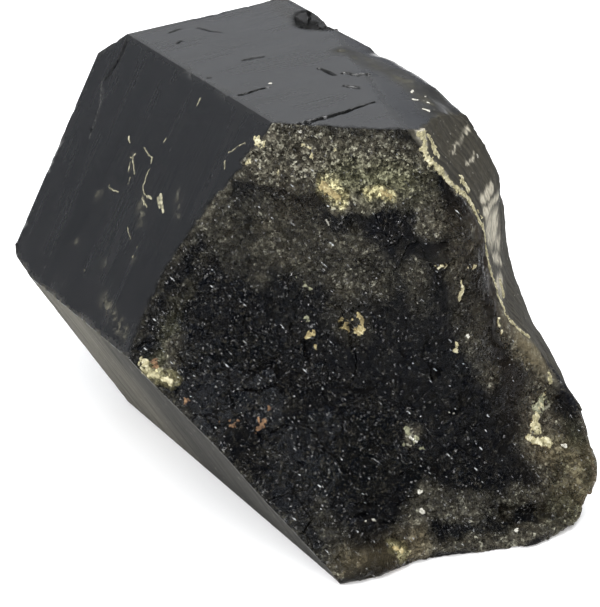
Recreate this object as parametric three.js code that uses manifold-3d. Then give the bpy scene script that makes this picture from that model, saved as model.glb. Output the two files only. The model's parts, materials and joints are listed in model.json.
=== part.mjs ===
// A smoky quartz crystal, lying on one side of its six-sided prism. Millimetres, +Z up.
// The prism's axis runs along Y: the natural six-sided point is at +Y and the rough break,
// where the crystal came off its matrix, faces -Y. The origin is under the middle of the
// crystal, on the surface it lies on.

import * as THREE from "three";
import { ConvexGeometry } from "three/addons/geometries/ConvexGeometry.js";
import { mergeVertices } from "three/addons/utils/BufferGeometryUtils.js";
import Module from "manifold-3d";

// ---- Driving dimensions -----------------------------------------------------------------

const HEIGHT = 72; // from the side it lies on to the flat top
const AXIS_Z = HEIGHT / 2; // height of the prism's axis, which is at x = 0
const HALF_WIDTH = 40; // the prism's greatest half width, rounded up
const UNCUT_LENGTH = 100; // how far the uncut prism runs forward of y = 0, past the break

// The six prism sides, 60 degrees apart as in every quartz crystal. angle is the way a side
// faces, in degrees from +X towards +Z; reach is its distance from the axis, and shoulder is
// the y where the side ends and its face of the point begins.
const SIDES = {
  top: { angle: 90, reach: 36, shoulder: 0 },
  upperLeft: { angle: 150, reach: 32, shoulder: 6.3 },
  lowerLeft: { angle: 210, reach: 36.6, shoulder: 7.9 },
  bottom: { angle: 270, reach: 36, shoulder: -1.4 },
  lowerRight: { angle: 330, reach: 36.4, shoulder: 5.8 },
  upperRight: { angle: 30, reach: 32.2, shoulder: 3.6 },
};
const POINT_LEAN = 38.2; // degrees that the point's rhombohedral faces lean in from the prism

// Lesser faces: a steep one below the lower left face of the point, the small rhombic face on
// the left corner, a narrow one that bevels the edge between the top and the upper right, and
// two worn ones that roll the top's front right corner over. They are described as the sides
// are, and lean is how far each leans towards the point, or below 0 towards the break.
const LESSER_FACES = {
  steepLeft: { angle: 210, reach: 36.6, shoulder: -2.2, lean: 10 },
  leftCorner: { angle: 180, reach: 39.6, shoulder: 3, lean: 24.5 },
  rightBevel: { angle: 60, reach: 38.75, shoulder: 0, lean: 0 },
  cornerRoll: { angle: 78.6, reach: 38.5, shoulder: -16, lean: -3.8 },
  cornerFall: { angle: 59, reach: 36.6, shoulder: -50, lean: -13.4 },
};

// The break, as the y of its surface at each x and z. The face across the front is a left
// flank and a front facet that meet in a soft edge, with a toe that swells out at the bottom.
// Right of a sharp ridge the surface falls back in a strip, which gets steeper lower down.
const LEFT_FLANK = { at: -62.4, alongX: -0.92, alongZ: 0 };
const FRONT_FACET = { at: -71, alongX: 0.3, alongZ: 0.05 };
const FLANK_EDGE = 8; // how softly the flank and the facet meet
const TOE = { out: 17.2, moreToLeft: 0.67, leftSoftness: 8, fade: 2.05 };
const UNDER_EDGE = { back: 1.4, steepness: 0.9, softness: 1 }; // the rounded edge under the toe
const RIDGE = {
  y: -68.5,
  lip: 1, // step down from the ridge to the strip
  lipWidth: 2,
  z: [-6, 8, 17, 28, 34, 46, 53, 60.5, 68.7, 78],
  x: [44, 38.5, 31.4, 23.5, 18.5, 13.3, 12, 7.6, 1.2, -3],
};
const RIDGE_EDGE = 0.8; // how softly the ridge breaks into the strip
const STRIP = { fall: 0.87, steeperBelow: 66, steepening: 0.9, over: 40 };

// Swells (rise below 0) and hollows (rise above 0) of the face, each with its middle.
const FACE_SWELLS = [
  { x: -34, z: 20.7, width: 6.7, rise: -6.3 }, // lump on the left edge, below the corner
  { x: -19.7, z: 9.4, width: 12.2, rise: -6.7 }, // left end of the toe
  { x: 0.5, z: 54, width: 28, rise: -6.4 }, // broad crown of the upper face
  { x: 26, z: 8.3, width: 7.2, rise: -7.6 }, // right end of the toe
  { x: 16, z: -2, width: 9, rise: -2.6 }, // fullness under the right half of the toe
];

// A flake is gone from the right edge of the top, near the point.
const CHIP = { centre: [15.2, -14.5, 73.2], radii: [4.4, 5.6, 2.9], turn: 24, detail: 3 };

const BREAK_STEP = 1.5; // size of the facets that the break is built from
const BREAK_MARGIN = 6; // how far the block that cuts the break runs past the prism
const SAME_POINT = 1e-3; // corners closer than this are one corner
const COLOUR = 0x1f1f20; // near-black smoky brown

// ---- Helpers ----------------------------------------------------------------------------

const wasm = await Module();
wasm.setup();

/** A closed geometry as a solid that can be cut. */
function solidOf(geometry) {
  geometry.deleteAttribute("normal");
  geometry.deleteAttribute("uv");
  const merged = mergeVertices(geometry, 1e-4);
  return new wasm.Manifold(
    new wasm.Mesh({
      numProp: 3,
      vertProperties: merged.attributes.position.array,
      triVerts: new Uint32Array(merged.index.array),
    }),
  );
}

/** A solid back as a geometry. */
function geometryOf(solid) {
  const mesh = solid.getMesh();
  const geometry = new THREE.BufferGeometry();
  geometry.setAttribute("position", new THREE.BufferAttribute(mesh.vertProperties, 3));
  geometry.setIndex(new THREE.BufferAttribute(mesh.triVerts, 1));
  return geometry;
}

/** The plane of a face of the crystal, leaning from the prism towards the point by lean degrees. */
function facePlane({ angle, reach, shoulder }, lean) {
  const around = THREE.MathUtils.degToRad(angle);
  const over = THREE.MathUtils.degToRad(lean);
  const outwards = new THREE.Vector3(Math.cos(around), 0, Math.sin(around));
  const onFace = outwards.clone().multiplyScalar(reach);
  onFace.add(new THREE.Vector3(0, shoulder, AXIS_Z));
  const normal = outwards.multiplyScalar(Math.cos(over));
  normal.y = Math.sin(over);
  return new THREE.Plane().setFromNormalAndCoplanarPoint(normal, onFace);
}

/** The point where three planes meet, or null where two are parallel. */
function meetingPoint(a, b, c) {
  const sides = new THREE.Matrix3();
  sides.set(...a.normal.toArray(), ...b.normal.toArray(), ...c.normal.toArray());
  if (Math.abs(sides.determinant()) < 1e-6) return null;
  return new THREE.Vector3(-a.constant, -b.constant, -c.constant).applyMatrix3(sides.invert());
}

/** The convex body that lies behind every one of the planes. */
function bodyBehind(planes) {
  const corners = [];
  planes.forEach((a, i) =>
    planes.slice(i + 1).forEach((b, j) =>
      planes.slice(i + j + 2).forEach((c) => {
        const corner = meetingPoint(a, b, c);
        if (!corner || planes.some((plane) => plane.distanceToPoint(corner) > SAME_POINT)) return;
        if (corners.every((other) => other.distanceTo(corner) > SAME_POINT)) corners.push(corner);
      }),
    ),
  );
  return new ConvexGeometry(corners);
}

/** The larger of two values, with the crossing between them rounded over by softness. */
function softMax(a, b, softness) {
  return (a + b + Math.hypot(a - b, softness)) / 2;
}

function flat({ at, alongX, alongZ }, x, z) {
  return at + alongX * x + alongZ * z;
}

/** How far the swells and hollows move the face at x and z. */
function swellOf(x, z) {
  const one = (s) => s.rise * Math.exp(-((x - s.x) ** 2 + (z - s.z) ** 2) / s.width ** 2);
  return FACE_SWELLS.reduce((sum, s) => sum + one(s), 0);
}

// ---- The crystal as it grew -------------------------------------------------------------

function grownCrystal() {
  const planes = [];
  for (const side of Object.values(SIDES)) {
    planes.push(facePlane(side, 0), facePlane(side, POINT_LEAN));
  }
  for (const face of Object.values(LESSER_FACES)) planes.push(facePlane(face, face.lean));
  planes.push(new THREE.Plane(new THREE.Vector3(0, -1, 0), -UNCUT_LENGTH));
  return solidOf(bodyBehind(planes));
}

// ---- The break --------------------------------------------------------------------------

/** y of the broad face across the front. */
function breakFace(x, z) {
  const side = softMax(flat(LEFT_FLANK, x, z), flat(FRONT_FACET, x, z), FLANK_EDGE);
  const spread = TOE.out + TOE.moreToLeft * softMax(-x, 0, TOE.leftSoftness);
  const toe = spread * Math.max(0, 1 - z / HEIGHT) ** TOE.fade;
  return side - toe + swellOf(x, z);
}

const ridgeX = new THREE.CubicInterpolant(RIDGE.z, RIDGE.x, 1);

/** y of the strip to the right of the ridge. */
function breakStrip(x, z) {
  const past = x - ridgeX.evaluate(z)[0];
  const lower = Math.max(0, (STRIP.steeperBelow - z) / STRIP.over);
  const fall = STRIP.fall + STRIP.steepening * lower ** 2;
  const lip = RIDGE.lip * (1 - Math.exp(-Math.max(0, past) / RIDGE.lipWidth));
  return RIDGE.y + lip + fall * past;
}

/** y of the whole break: the crystal is what lies behind it. */
function breakDepth(x, z) {
  const face = softMax(breakFace(x, z), breakStrip(x, z), RIDGE_EDGE);
  const underEdge = breakFace(x, 0) + UNDER_EDGE.back - UNDER_EDGE.steepness * z;
  return softMax(face, underEdge, UNDER_EDGE.softness);
}

/** The block in front of the break: a grid on the break, a flat grid ahead, and a skirt round. */
function blockAhead() {
  const halfWidth = HALF_WIDTH + BREAK_MARGIN;
  const columns = Math.round((2 * halfWidth) / BREAK_STEP);
  const rows = Math.round((HEIGHT + 2 * BREAK_MARGIN) / BREAK_STEP);
  const stride = columns + 1;
  const points = [];
  const faces = [];
  for (const ahead of [false, true]) {
    for (let row = 0; row <= rows; row++) {
      for (let column = 0; column <= columns; column++) {
        const x = -halfWidth + column * BREAK_STEP;
        const z = -BREAK_MARGIN + row * BREAK_STEP;
        points.push(x, ahead ? -UNCUT_LENGTH - BREAK_MARGIN : breakDepth(x, z), z);
      }
    }
  }
  const sheet = (rows + 1) * stride;
  const quad = (a, b, c, d) => faces.push(a, b, c, a, c, d);
  for (let row = 0; row < rows; row++) {
    for (let column = 0; column < columns; column++) {
      const at = row * stride + column;
      quad(at, at + stride, at + stride + 1, at + 1);
      const front = sheet + at;
      quad(front, front + 1, front + stride + 1, front + stride);
    }
  }
  for (let column = 0; column < columns; column++) {
    const last = rows * stride + column;
    quad(column, column + 1, sheet + column + 1, sheet + column);
    quad(last, sheet + last, sheet + last + 1, last + 1);
  }
  for (let row = 0; row < rows; row++) {
    const left = row * stride;
    const right = left + columns;
    quad(left, sheet + left, sheet + left + stride, left + stride);
    quad(right, right + stride, sheet + right + stride, sheet + right);
  }
  const geometry = new THREE.BufferGeometry();
  geometry.setAttribute("position", new THREE.Float32BufferAttribute(points, 3));
  geometry.setIndex(faces);
  return solidOf(geometry);
}

/** The scoop that the missing flake left. */
function chipScoop() {
  const scoop = new THREE.IcosahedronGeometry(1, CHIP.detail);
  scoop.scale(...CHIP.radii);
  scoop.rotateZ(THREE.MathUtils.degToRad(CHIP.turn));
  scoop.translate(...CHIP.centre);
  return solidOf(scoop);
}

// ---- Assembly ---------------------------------------------------------------------------

const geometry = geometryOf(grownCrystal().subtract(blockAhead()).subtract(chipScoop()));
geometry.computeBoundingBox();
const { min, max } = geometry.boundingBox;
geometry.translate(-(min.x + max.x) / 2, -(min.y + max.y) / 2, -min.z);
geometry.computeVertexNormals();

const material = new THREE.MeshStandardMaterial({ color: COLOUR, roughness: 0.3, metalness: 0 });
material.flatShading = true;

const crystal = new THREE.Mesh(geometry, material);
crystal.name = "crystal";

const specimen = new THREE.Group();
specimen.add(crystal);

export default specimen;
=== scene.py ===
"""A smoky quartz crystal that lies on one side of its six-sided prism.

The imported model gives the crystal's faces, point and break. This script refines that body into
one finely faceted mesh, chips and steps its break, lays its mineral films and crust on it, and
dresses it as dark smoky glass. Lengths are millimetres in the part's frame, with +Z up and the
natural point at +Y. Only the studio's paper and lights, and what bpy itself holds, are in metres.
"""

import functools
import itertools
import json
import logging
import math
from collections.abc import Callable, Mapping, Sequence
from dataclasses import dataclass, field
from enum import Enum, IntEnum
from typing import Any

import bmesh
import bpy
import numpy as np
from mathutils import Matrix, Vector
from mathutils.geometry import delaunay_2d_cdt
from mathutils.kdtree import KDTree

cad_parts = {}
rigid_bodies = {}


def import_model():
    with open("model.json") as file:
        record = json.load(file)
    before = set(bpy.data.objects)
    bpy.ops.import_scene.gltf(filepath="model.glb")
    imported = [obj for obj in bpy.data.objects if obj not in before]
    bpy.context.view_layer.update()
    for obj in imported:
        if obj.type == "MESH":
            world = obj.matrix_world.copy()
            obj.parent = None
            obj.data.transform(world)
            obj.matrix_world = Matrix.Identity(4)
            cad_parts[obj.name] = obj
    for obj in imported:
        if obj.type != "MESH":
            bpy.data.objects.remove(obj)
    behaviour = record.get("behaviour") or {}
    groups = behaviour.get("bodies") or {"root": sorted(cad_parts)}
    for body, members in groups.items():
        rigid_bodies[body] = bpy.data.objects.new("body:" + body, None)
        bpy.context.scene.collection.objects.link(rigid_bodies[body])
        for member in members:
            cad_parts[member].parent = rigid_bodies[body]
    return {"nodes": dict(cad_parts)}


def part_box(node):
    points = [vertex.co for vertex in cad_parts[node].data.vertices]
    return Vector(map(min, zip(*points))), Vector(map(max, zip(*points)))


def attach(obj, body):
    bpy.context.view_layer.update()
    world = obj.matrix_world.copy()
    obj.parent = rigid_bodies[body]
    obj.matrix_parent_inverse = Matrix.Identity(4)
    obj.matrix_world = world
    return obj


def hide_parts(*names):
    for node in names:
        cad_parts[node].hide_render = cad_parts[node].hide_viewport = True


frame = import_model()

LOG = logging.getLogger("smoky_quartz")
MM = 0.001
SEED = 20417
NODE = "crystal"
BODY = "root"

Array = np.ndarray
Point = tuple[float, float, float]
Colour = tuple[float, float, float]
Stops = tuple[tuple[float, Colour], ...]

# The numbers that scramble a cell's place, the seed and the channel into a random word.
HASH_PLACE = (73856093, 19349663, 83492791)
HASH_SEED = 40503
HASH_CHANNEL = 9176263
HASH_MIX = 0x45D9F3B
WORD = 0xFFFFFFFF

FIRST_OCTAVE = 0.55
OCTAVE_SHIFT = 17.3
TINY = 1e-12
FAR = 99.0
NO_LABEL = 99
TOO_LONG = 1.4
ROW_GAP = 0.866
CDT_INSIDE = 1
CDT_NEAR = 1e-7


# ---- Shape of noise ----------------------------------------------------------------------


def eased(value: Array, low: float, high: float) -> Array:
    """A smooth rise from 0 at low to 1 at high."""
    t = np.clip((value - low) / (high - low), 0.0, 1.0)
    return t * t * (3 - 2 * t)


class Channel(IntEnum):
    """Which of a cell's own numbers a noise is made from. Some use the next two as well."""

    MIDDLE = 1
    LUMPS = 3
    LEAN = 4
    BROAD = 5
    LEVEL = 7
    CRUMBLE = 12
    DRAWN_OUT = 14
    SWELL = 20
    NICKS = 22
    WANDER = 31
    FROST = 40
    STRIPES = 41
    SMEAR = 42
    FIBRES = 43
    SIDE_LIGHT = 46
    OUTLINE = 50


def unit(vectors: Array) -> Array:
    """The vectors with each made one long."""
    return vectors / np.maximum(np.linalg.norm(vectors, axis=1), TINY)[:, None]


@dataclass(frozen=True)
class Chips:
    """What cell noise gives at each point: a crowd of small facets, each with its own lean.

    Attributes:
        near: How far the point is from its facet's middle, in mm.
        away: The way from that middle to the point.
        lean: Which way the facet leans, from -1 to 1 along each axis.
        level: How high the facet stands, from -1 to 1.
    """

    near: Array
    away: Array
    lean: Array
    level: Array

    def facet(self, slope: float, step: float) -> Array:
        """Height of facets that lean by up to slope and step up or down by step."""
        return (self.away * self.lean).sum(1) * slope + self.level * step


@dataclass(frozen=True)
class Noise:
    """Seeded noise over points in millimetres, the same in every run."""

    seed: int

    def random(self, cell: Array, channel: int) -> Array:
        """A number from 0 to 1 for each whole-number cell.

        Args:
            cell: Whole numbers, three to a row.
            channel: Which of the cell's own numbers is wanted.

        Returns:
            One number for each row.
        """
        word = np.bitwise_xor.reduce(cell.astype(np.int64) * HASH_PLACE, axis=1)
        word = (word ^ (self.seed * HASH_SEED + channel * HASH_CHANNEL)) & WORD
        for _ in range(2):
            word = ((word ^ (word >> 16)) * HASH_MIX) & WORD
        return (word ^ (word >> 16)) / WORD

    def triple(self, cell: Array, channel: int) -> Array:
        """Three numbers from 0 to 1 for each cell, from this channel and the next two."""
        return np.stack([self.random(cell, channel + k) for k in range(3)], 1)

    def smooth(self, points: Array, size: float, channel: int = 0) -> Array:
        """Soft noise from -1 to 1.

        Args:
            points: The places.
            size: The length over which the noise changes.
            channel: Which of the cells' numbers it is made from.

        Returns:
            One number for each place.
        """
        p = points / size
        base = np.floor(p)
        t = p - base
        t = t * t * t * (t * (t * 6 - 15) + 10)
        total = np.zeros(len(points))
        for corner in itertools.product((0, 1), repeat=3):
            weight = np.where(np.array(corner, bool), t, 1 - t).prod(1)
            total += weight * self.random(base + np.array(corner), channel)
        return 2 * total - 1

    def fractal(self, points: Array, size: float, octaves: int, channel: int) -> Array:
        """Soft noise with finer and finer detail added, about -1 to 1.

        Args:
            points: The places.
            size: The length over which the coarsest noise changes.
            octaves: How many noises are added, each half as coarse and as strong as the last.
            channel: Which of the cells' numbers it is made from.

        Returns:
            One number for each place.
        """
        total, share = np.zeros(len(points)), FIRST_OCTAVE
        for octave in range(octaves):
            total += share * self.smooth(points + OCTAVE_SHIFT * octave, size / 2**octave, channel)
            share *= 0.5
        return total

    def wander(self, points: Array, size: float, reach: float) -> Array:
        """The points moved about by up to reach, so that a pattern on them loses its straightness."""
        shift = [self.fractal(points, size, 2, Channel.WANDER + k) for k in range(3)]
        return points + np.stack(shift, 1) * reach

    def chips(self, points: Array, size: float) -> Chips:
        """Facets, each with its own lean and level.

        Args:
            points: The places.
            size: About how wide a facet is.

        Returns:
            The facet that each place is on.
        """
        p = points / size
        base = np.floor(p)
        near = np.full(len(p), np.inf)
        owner, away = np.zeros_like(base), np.zeros_like(p)
        for shift in itertools.product((-1, 0, 1), repeat=3):
            cell = base + np.array(shift)
            offset = p - (cell + self.triple(cell, Channel.MIDDLE))
            distance = np.linalg.norm(offset, axis=1)
            closer = distance < near
            near[closer] = distance[closer]
            owner[closer], away[closer] = cell[closer], offset[closer]
        lean = self.triple(owner, Channel.LEAN) * 2 - 1
        level = self.random(owner, Channel.LEVEL) * 2 - 1
        return Chips(near * size, away * size, lean, level)


# ---- Meshes in arrays --------------------------------------------------------------------


@dataclass
class Skin:
    """A triangle mesh in arrays: a row of numbers for each corner, its place first, in mm."""

    rows: Array
    faces: Array
    labels: Array

    @property
    def points(self) -> Array:
        """The places of the corners."""
        return self.rows[:, :3]

    def face_normals(self) -> tuple[Array, Array]:
        """The faces' directions and sizes.

        Returns:
            Each face's unit normal, and its area.
        """
        a, b, c = (self.points[self.faces[:, k]] for k in range(3))
        cross = np.cross(b - a, c - a)
        return unit(cross), np.linalg.norm(cross, axis=1) / 2

    def normals(self) -> Array:
        """Each corner's unit normal, weighted by the areas around it."""
        normal, area = self.face_normals()
        return unit(self.gathered(normal * area[:, None]))

    def gathered(self, values: Array) -> Array:
        """Adds up at each corner what the faces round it have.

        Args:
            values: A row of numbers for each face.

        Returns:
            A row of sums for each corner.
        """
        count, corner = len(self.rows), self.faces.ravel()
        spread = np.repeat(values, 3, axis=0)
        sums = [np.bincount(corner, spread[:, k], count) for k in range(values.shape[1])]
        return np.stack(sums, 1)

    def sides(self) -> tuple[Array, Array]:
        """The mesh's edges.

        Returns:
            Each edge as a pair of corners, and each face's three edges by their numbers.
        """
        count = len(self.rows)
        pairs = np.sort(self.faces[:, [[0, 1], [1, 2], [2, 0]]], axis=2)
        keys, back = np.unique(pairs[..., 0] * count + pairs[..., 1], return_inverse=True)
        return np.stack([keys // count, keys % count], 1), back.reshape(-1, 3)

    def refined(self, wanted: Callable[["Skin", Array, Array], Array], passes: int) -> "Skin":
        """The mesh with its long edges halved until each is about as short as wanted.

        Args:
            wanted: Gives the edge length wanted, from the mesh, the edges' middles and the
                sides of its faces.
            passes: The most times that edges are halved.

        Returns:
            The finer mesh, which has no gaps between its finer and coarser parts.
        """
        skin = self
        for _ in range(passes):
            ends, back = skin.sides()
            middle = skin.rows[ends].mean(1)
            length = np.linalg.norm(skin.points[ends[:, 0]] - skin.points[ends[:, 1]], axis=1)
            cut = length > TOO_LONG * wanted(skin, middle, back)
            if not cut.any():
                break
            slot = length[back].argmax(1)
            rows = np.arange(len(slot))
            longest = back[rows, slot]
            while not cut[longest[cut[back].any(1)]].all():
                cut[longest[cut[back].any(1)]] = True
            skin = skin.halved(middle, back, cut, slot)
        return skin

    def halved(self, middle: Array, back: Array, cut: Array, slot: Array) -> "Skin":
        """The mesh with some edges halved, where each face's longest edge is among them.

        Args:
            middle: The row of numbers at each edge's middle.
            back: Each face's three edges.
            cut: Which edges are halved.
            slot: Which of its three edges is each face's longest.

        Returns:
            The mesh with each face that has such edges split into two, three or four.
        """
        number = np.full(len(cut), -1)
        number[cut] = len(self.rows) + np.arange(int(cut.sum()))
        rows = np.arange(len(slot))
        a, b, c = (self.faces[rows, (slot + k) % 3] for k in (2, 0, 1))
        m, n, q = (number[back[rows, (slot + k) % 3]] for k in (0, 2, 1))
        whole, left, right = m < 0, (m >= 0) & (n < 0), (m >= 0) & (q < 0)
        left_cut, right_cut = (m >= 0) & (n >= 0), (m >= 0) & (q >= 0)
        parts = [
            (whole, (a, b, c)),
            (left, (a, b, m)),
            (left_cut, (a, n, m)),
            (left_cut, (n, b, m)),
            (right, (a, m, c)),
            (right_cut, (a, m, q)),
            (right_cut, (q, m, c)),
        ]
        faces = np.concatenate([np.stack([v[k] for v in tri], 1) for k, tri in parts])
        labels = np.concatenate([self.labels[k] for k, _ in parts])
        return Skin(np.concatenate([self.rows, middle[cut]]), faces, labels)

    def eased(self, free: Array, rounds: int) -> None:
        """Moves corners to the middle of their neighbours, again and again.

        Args:
            free: Which corners move.
            rounds: How many times they do.
        """
        ends, _ = self.sides()
        i, j = np.concatenate([ends, ends[:, ::-1]]).T
        count = len(self.rows)
        number = np.maximum(np.bincount(i, minlength=count), 1)
        for _ in range(rounds):
            sums = [np.bincount(i, self.rows[j, k], count) for k in range(3)]
            self.rows[free, :3] = (np.stack(sums, 1) / number[:, None])[free]

    def kept(self, faces: Array) -> "Skin":
        """The part of the mesh with only these faces."""
        used, back = np.unique(self.faces[faces], return_inverse=True)
        return Skin(self.rows[used], back.reshape(-1, 3), self.labels[faces])


def welded(mesh: bpy.types.Mesh) -> Skin:
    """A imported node's mesh as a skin, with the corners at one place joined.

    Args:
        mesh: The node's mesh, in metres.

    Returns:
        The skin, in millimetres, with every label 0.
    """
    mesh.calc_loop_triangles()
    co = np.empty(len(mesh.vertices) * 3)
    mesh.vertices.foreach_get("co", co)
    tri = np.empty(len(mesh.loop_triangles) * 3, np.int32)
    mesh.loop_triangles.foreach_get("vertices", tri)
    places = co.reshape(-1, 3) / MM
    near = np.round(places, 3)
    _, first, back = np.unique(near, axis=0, return_index=True, return_inverse=True)
    faces = back.reshape(-1)[tri].reshape(-1, 3)
    whole = (faces != np.roll(faces, 1, axis=1)).all(1)
    return Skin(places[first], faces[whole], np.zeros(int(whole.sum()), int))


def label_range(slots: Array, labels: Array, count: int) -> tuple[Array, Array]:
    """The range of the labels that meet at each corner or edge.

    Args:
        slots: Each face's three corners, or its three edges.
        labels: Each face's label.
        count: How many corners or edges there are.

    Returns:
        The lowest label at each one, and the highest.
    """
    low = np.full(count, NO_LABEL)
    high = np.full(count, -NO_LABEL)
    for k in range(3):
        np.minimum.at(low, slots[:, k], labels)
        np.maximum.at(high, slots[:, k], labels)
    return low, high


def mesh_object(name: str, points: Array, faces: Array, finish: "Finish") -> bpy.types.Object:
    """A new mesh object from points in millimetres, dressed in one finish.

    Args:
        name: The piece's name.
        points: The corners, in millimetres.
        faces: The triangles, as rows of three corners.
        finish: What it is made of.

    Returns:
        The object, linked into the scene.
    """
    mesh = bpy.data.meshes.new(name)
    mesh.vertices.add(len(points))
    mesh.vertices.foreach_set("co", (points * MM).astype(np.float32).ravel())
    mesh.loops.add(len(faces) * 3)
    mesh.loops.foreach_set("vertex_index", faces.astype(np.int32).ravel())
    mesh.polygons.add(len(faces))
    mesh.polygons.foreach_set("loop_start", np.arange(len(faces), dtype=np.int32) * 3)
    mesh.update(calc_edges=True)
    mesh.validate()
    mesh.materials.append(finish.made())
    piece = bpy.data.objects.new(name, mesh)
    bpy.context.scene.collection.objects.link(piece)
    return piece


def tree_of(points: Array) -> KDTree:
    """A search tree over points.

    Args:
        points: The points, three numbers to a row.

    Returns:
        The tree, which knows each point by its row.
    """
    tree = KDTree(len(points))
    for i, p in enumerate(points):
        tree.insert(p, i)
    tree.balance()
    return tree


def nearest(tree: KDTree, points: Array) -> tuple[Array, Array]:
    """The index of the nearest of the tree's points to each point, and how far it is."""
    found = [tree.find(p) for p in points]
    return np.array([f[1] for f in found], int), np.array([f[2] for f in found])


@dataclass(frozen=True)
class Trail:
    """A line or a spot on the crystal.

    Attributes:
        path: The points that it passes through.
        width: How far it reaches to either side, at its start.
        end_width: How far it reaches at its end, if that isn't the same.
    """

    path: tuple[Point, ...]
    width: float
    end_width: float | None = None

    @property
    def last(self) -> float:
        """How far it reaches to either side, at its end."""
        return self.width if self.end_width is None else self.end_width

    def nearness(self, points: Array) -> Array:
        """How near points are to it.

        Args:
            points: The places.

        Returns:
            For each place 1 on the line, 0 at its width from it, and less beyond.
        """
        places = np.array(self.path, float)
        if len(places) == 1:
            return 1 - np.linalg.norm(points - places[0], axis=1) / self.width
        best = np.full(len(points), -9.0)
        margin = 8 * max(self.width, self.last)
        close = ((points > places.min(0) - margin) & (points < places.max(0) + margin)).all(1)
        near = points[close]
        count = len(places) - 1
        for i in range(count):
            along = places[i + 1] - places[i]
            t = np.clip((near - places[i]) @ along / (along @ along), 0, 1)
            distance = np.linalg.norm(near - places[i] - t[:, None] * along, axis=1)
            width = self.width + (self.last - self.width) * (i + t) / count
            best[close] = np.maximum(best[close], 1 - distance / width)
        return best


def nearest_trail(trails: Sequence[Trail], points: Array) -> Array:
    """The greatest nearness of any trail at each point."""
    return functools.reduce(np.maximum, (trail.nearness(points) for trail in trails))


def strongest(trails: Sequence[Trail], points: Array) -> Array:
    """The greatest nearness of any trail at each point, eased to run from 0 to 1."""
    return eased(nearest_trail(trails, points), 0, 1)


# ---- Shader building ---------------------------------------------------------------------


class Value:
    """A shader's number socket that works in an expression like a number."""

    def __init__(self, shader: "Shader", socket: bpy.types.NodeSocket) -> None:
        """Holds the socket and the shader that it belongs to."""
        self.shader = shader
        self.socket = socket

    def maths(self, operation: str, *operands: Any) -> "Value":
        """A Math node of this operation on the operands."""
        node = self.shader.node("ShaderNodeMath", {"operation": operation}, dict(enumerate(operands)))
        return Value(self.shader, node.outputs[0])

    def __add__(self, other: Any) -> "Value":
        """Adds."""
        return self.maths("ADD", self, other)

    def __radd__(self, other: Any) -> "Value":
        """Adds to a plain number."""
        return self.maths("ADD", other, self)

    def __sub__(self, other: Any) -> "Value":
        """Subtracts."""
        return self.maths("SUBTRACT", self, other)

    def __rsub__(self, other: Any) -> "Value":
        """Subtracts from a plain number."""
        return self.maths("SUBTRACT", other, self)

    def __mul__(self, other: Any) -> "Value":
        """Multiplies."""
        return self.maths("MULTIPLY", self, other)

    def __truediv__(self, other: Any) -> "Value":
        """Divides."""
        return self.maths("DIVIDE", self, other)

    def __abs__(self) -> "Value":
        """Drops the sign."""
        return self.maths("ABSOLUTE", self)

    def most(self, other: Any) -> "Value":
        """The larger of two."""
        return self.maths("MAXIMUM", self, other)

    def least(self, other: Any) -> "Value":
        """The smaller of two."""
        return self.maths("MINIMUM", self, other)

    def held(self) -> "Value":
        """Held between 0 and 1."""
        return self.most(0.0).least(1.0)

    def rise(self, low: Any, high: Any) -> "Value":
        """A smooth rise.

        Args:
            low: Where it leaves 0.
            high: Where it reaches 1.

        Returns:
            The rise at this value.
        """
        sockets = {"Value": self, "From Min": low, "From Max": high}
        settings = {"interpolation_type": "SMOOTHSTEP"}
        node = self.shader.node("ShaderNodeMapRange", settings, sockets)
        return Value(self.shader, node.outputs[0])


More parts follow.
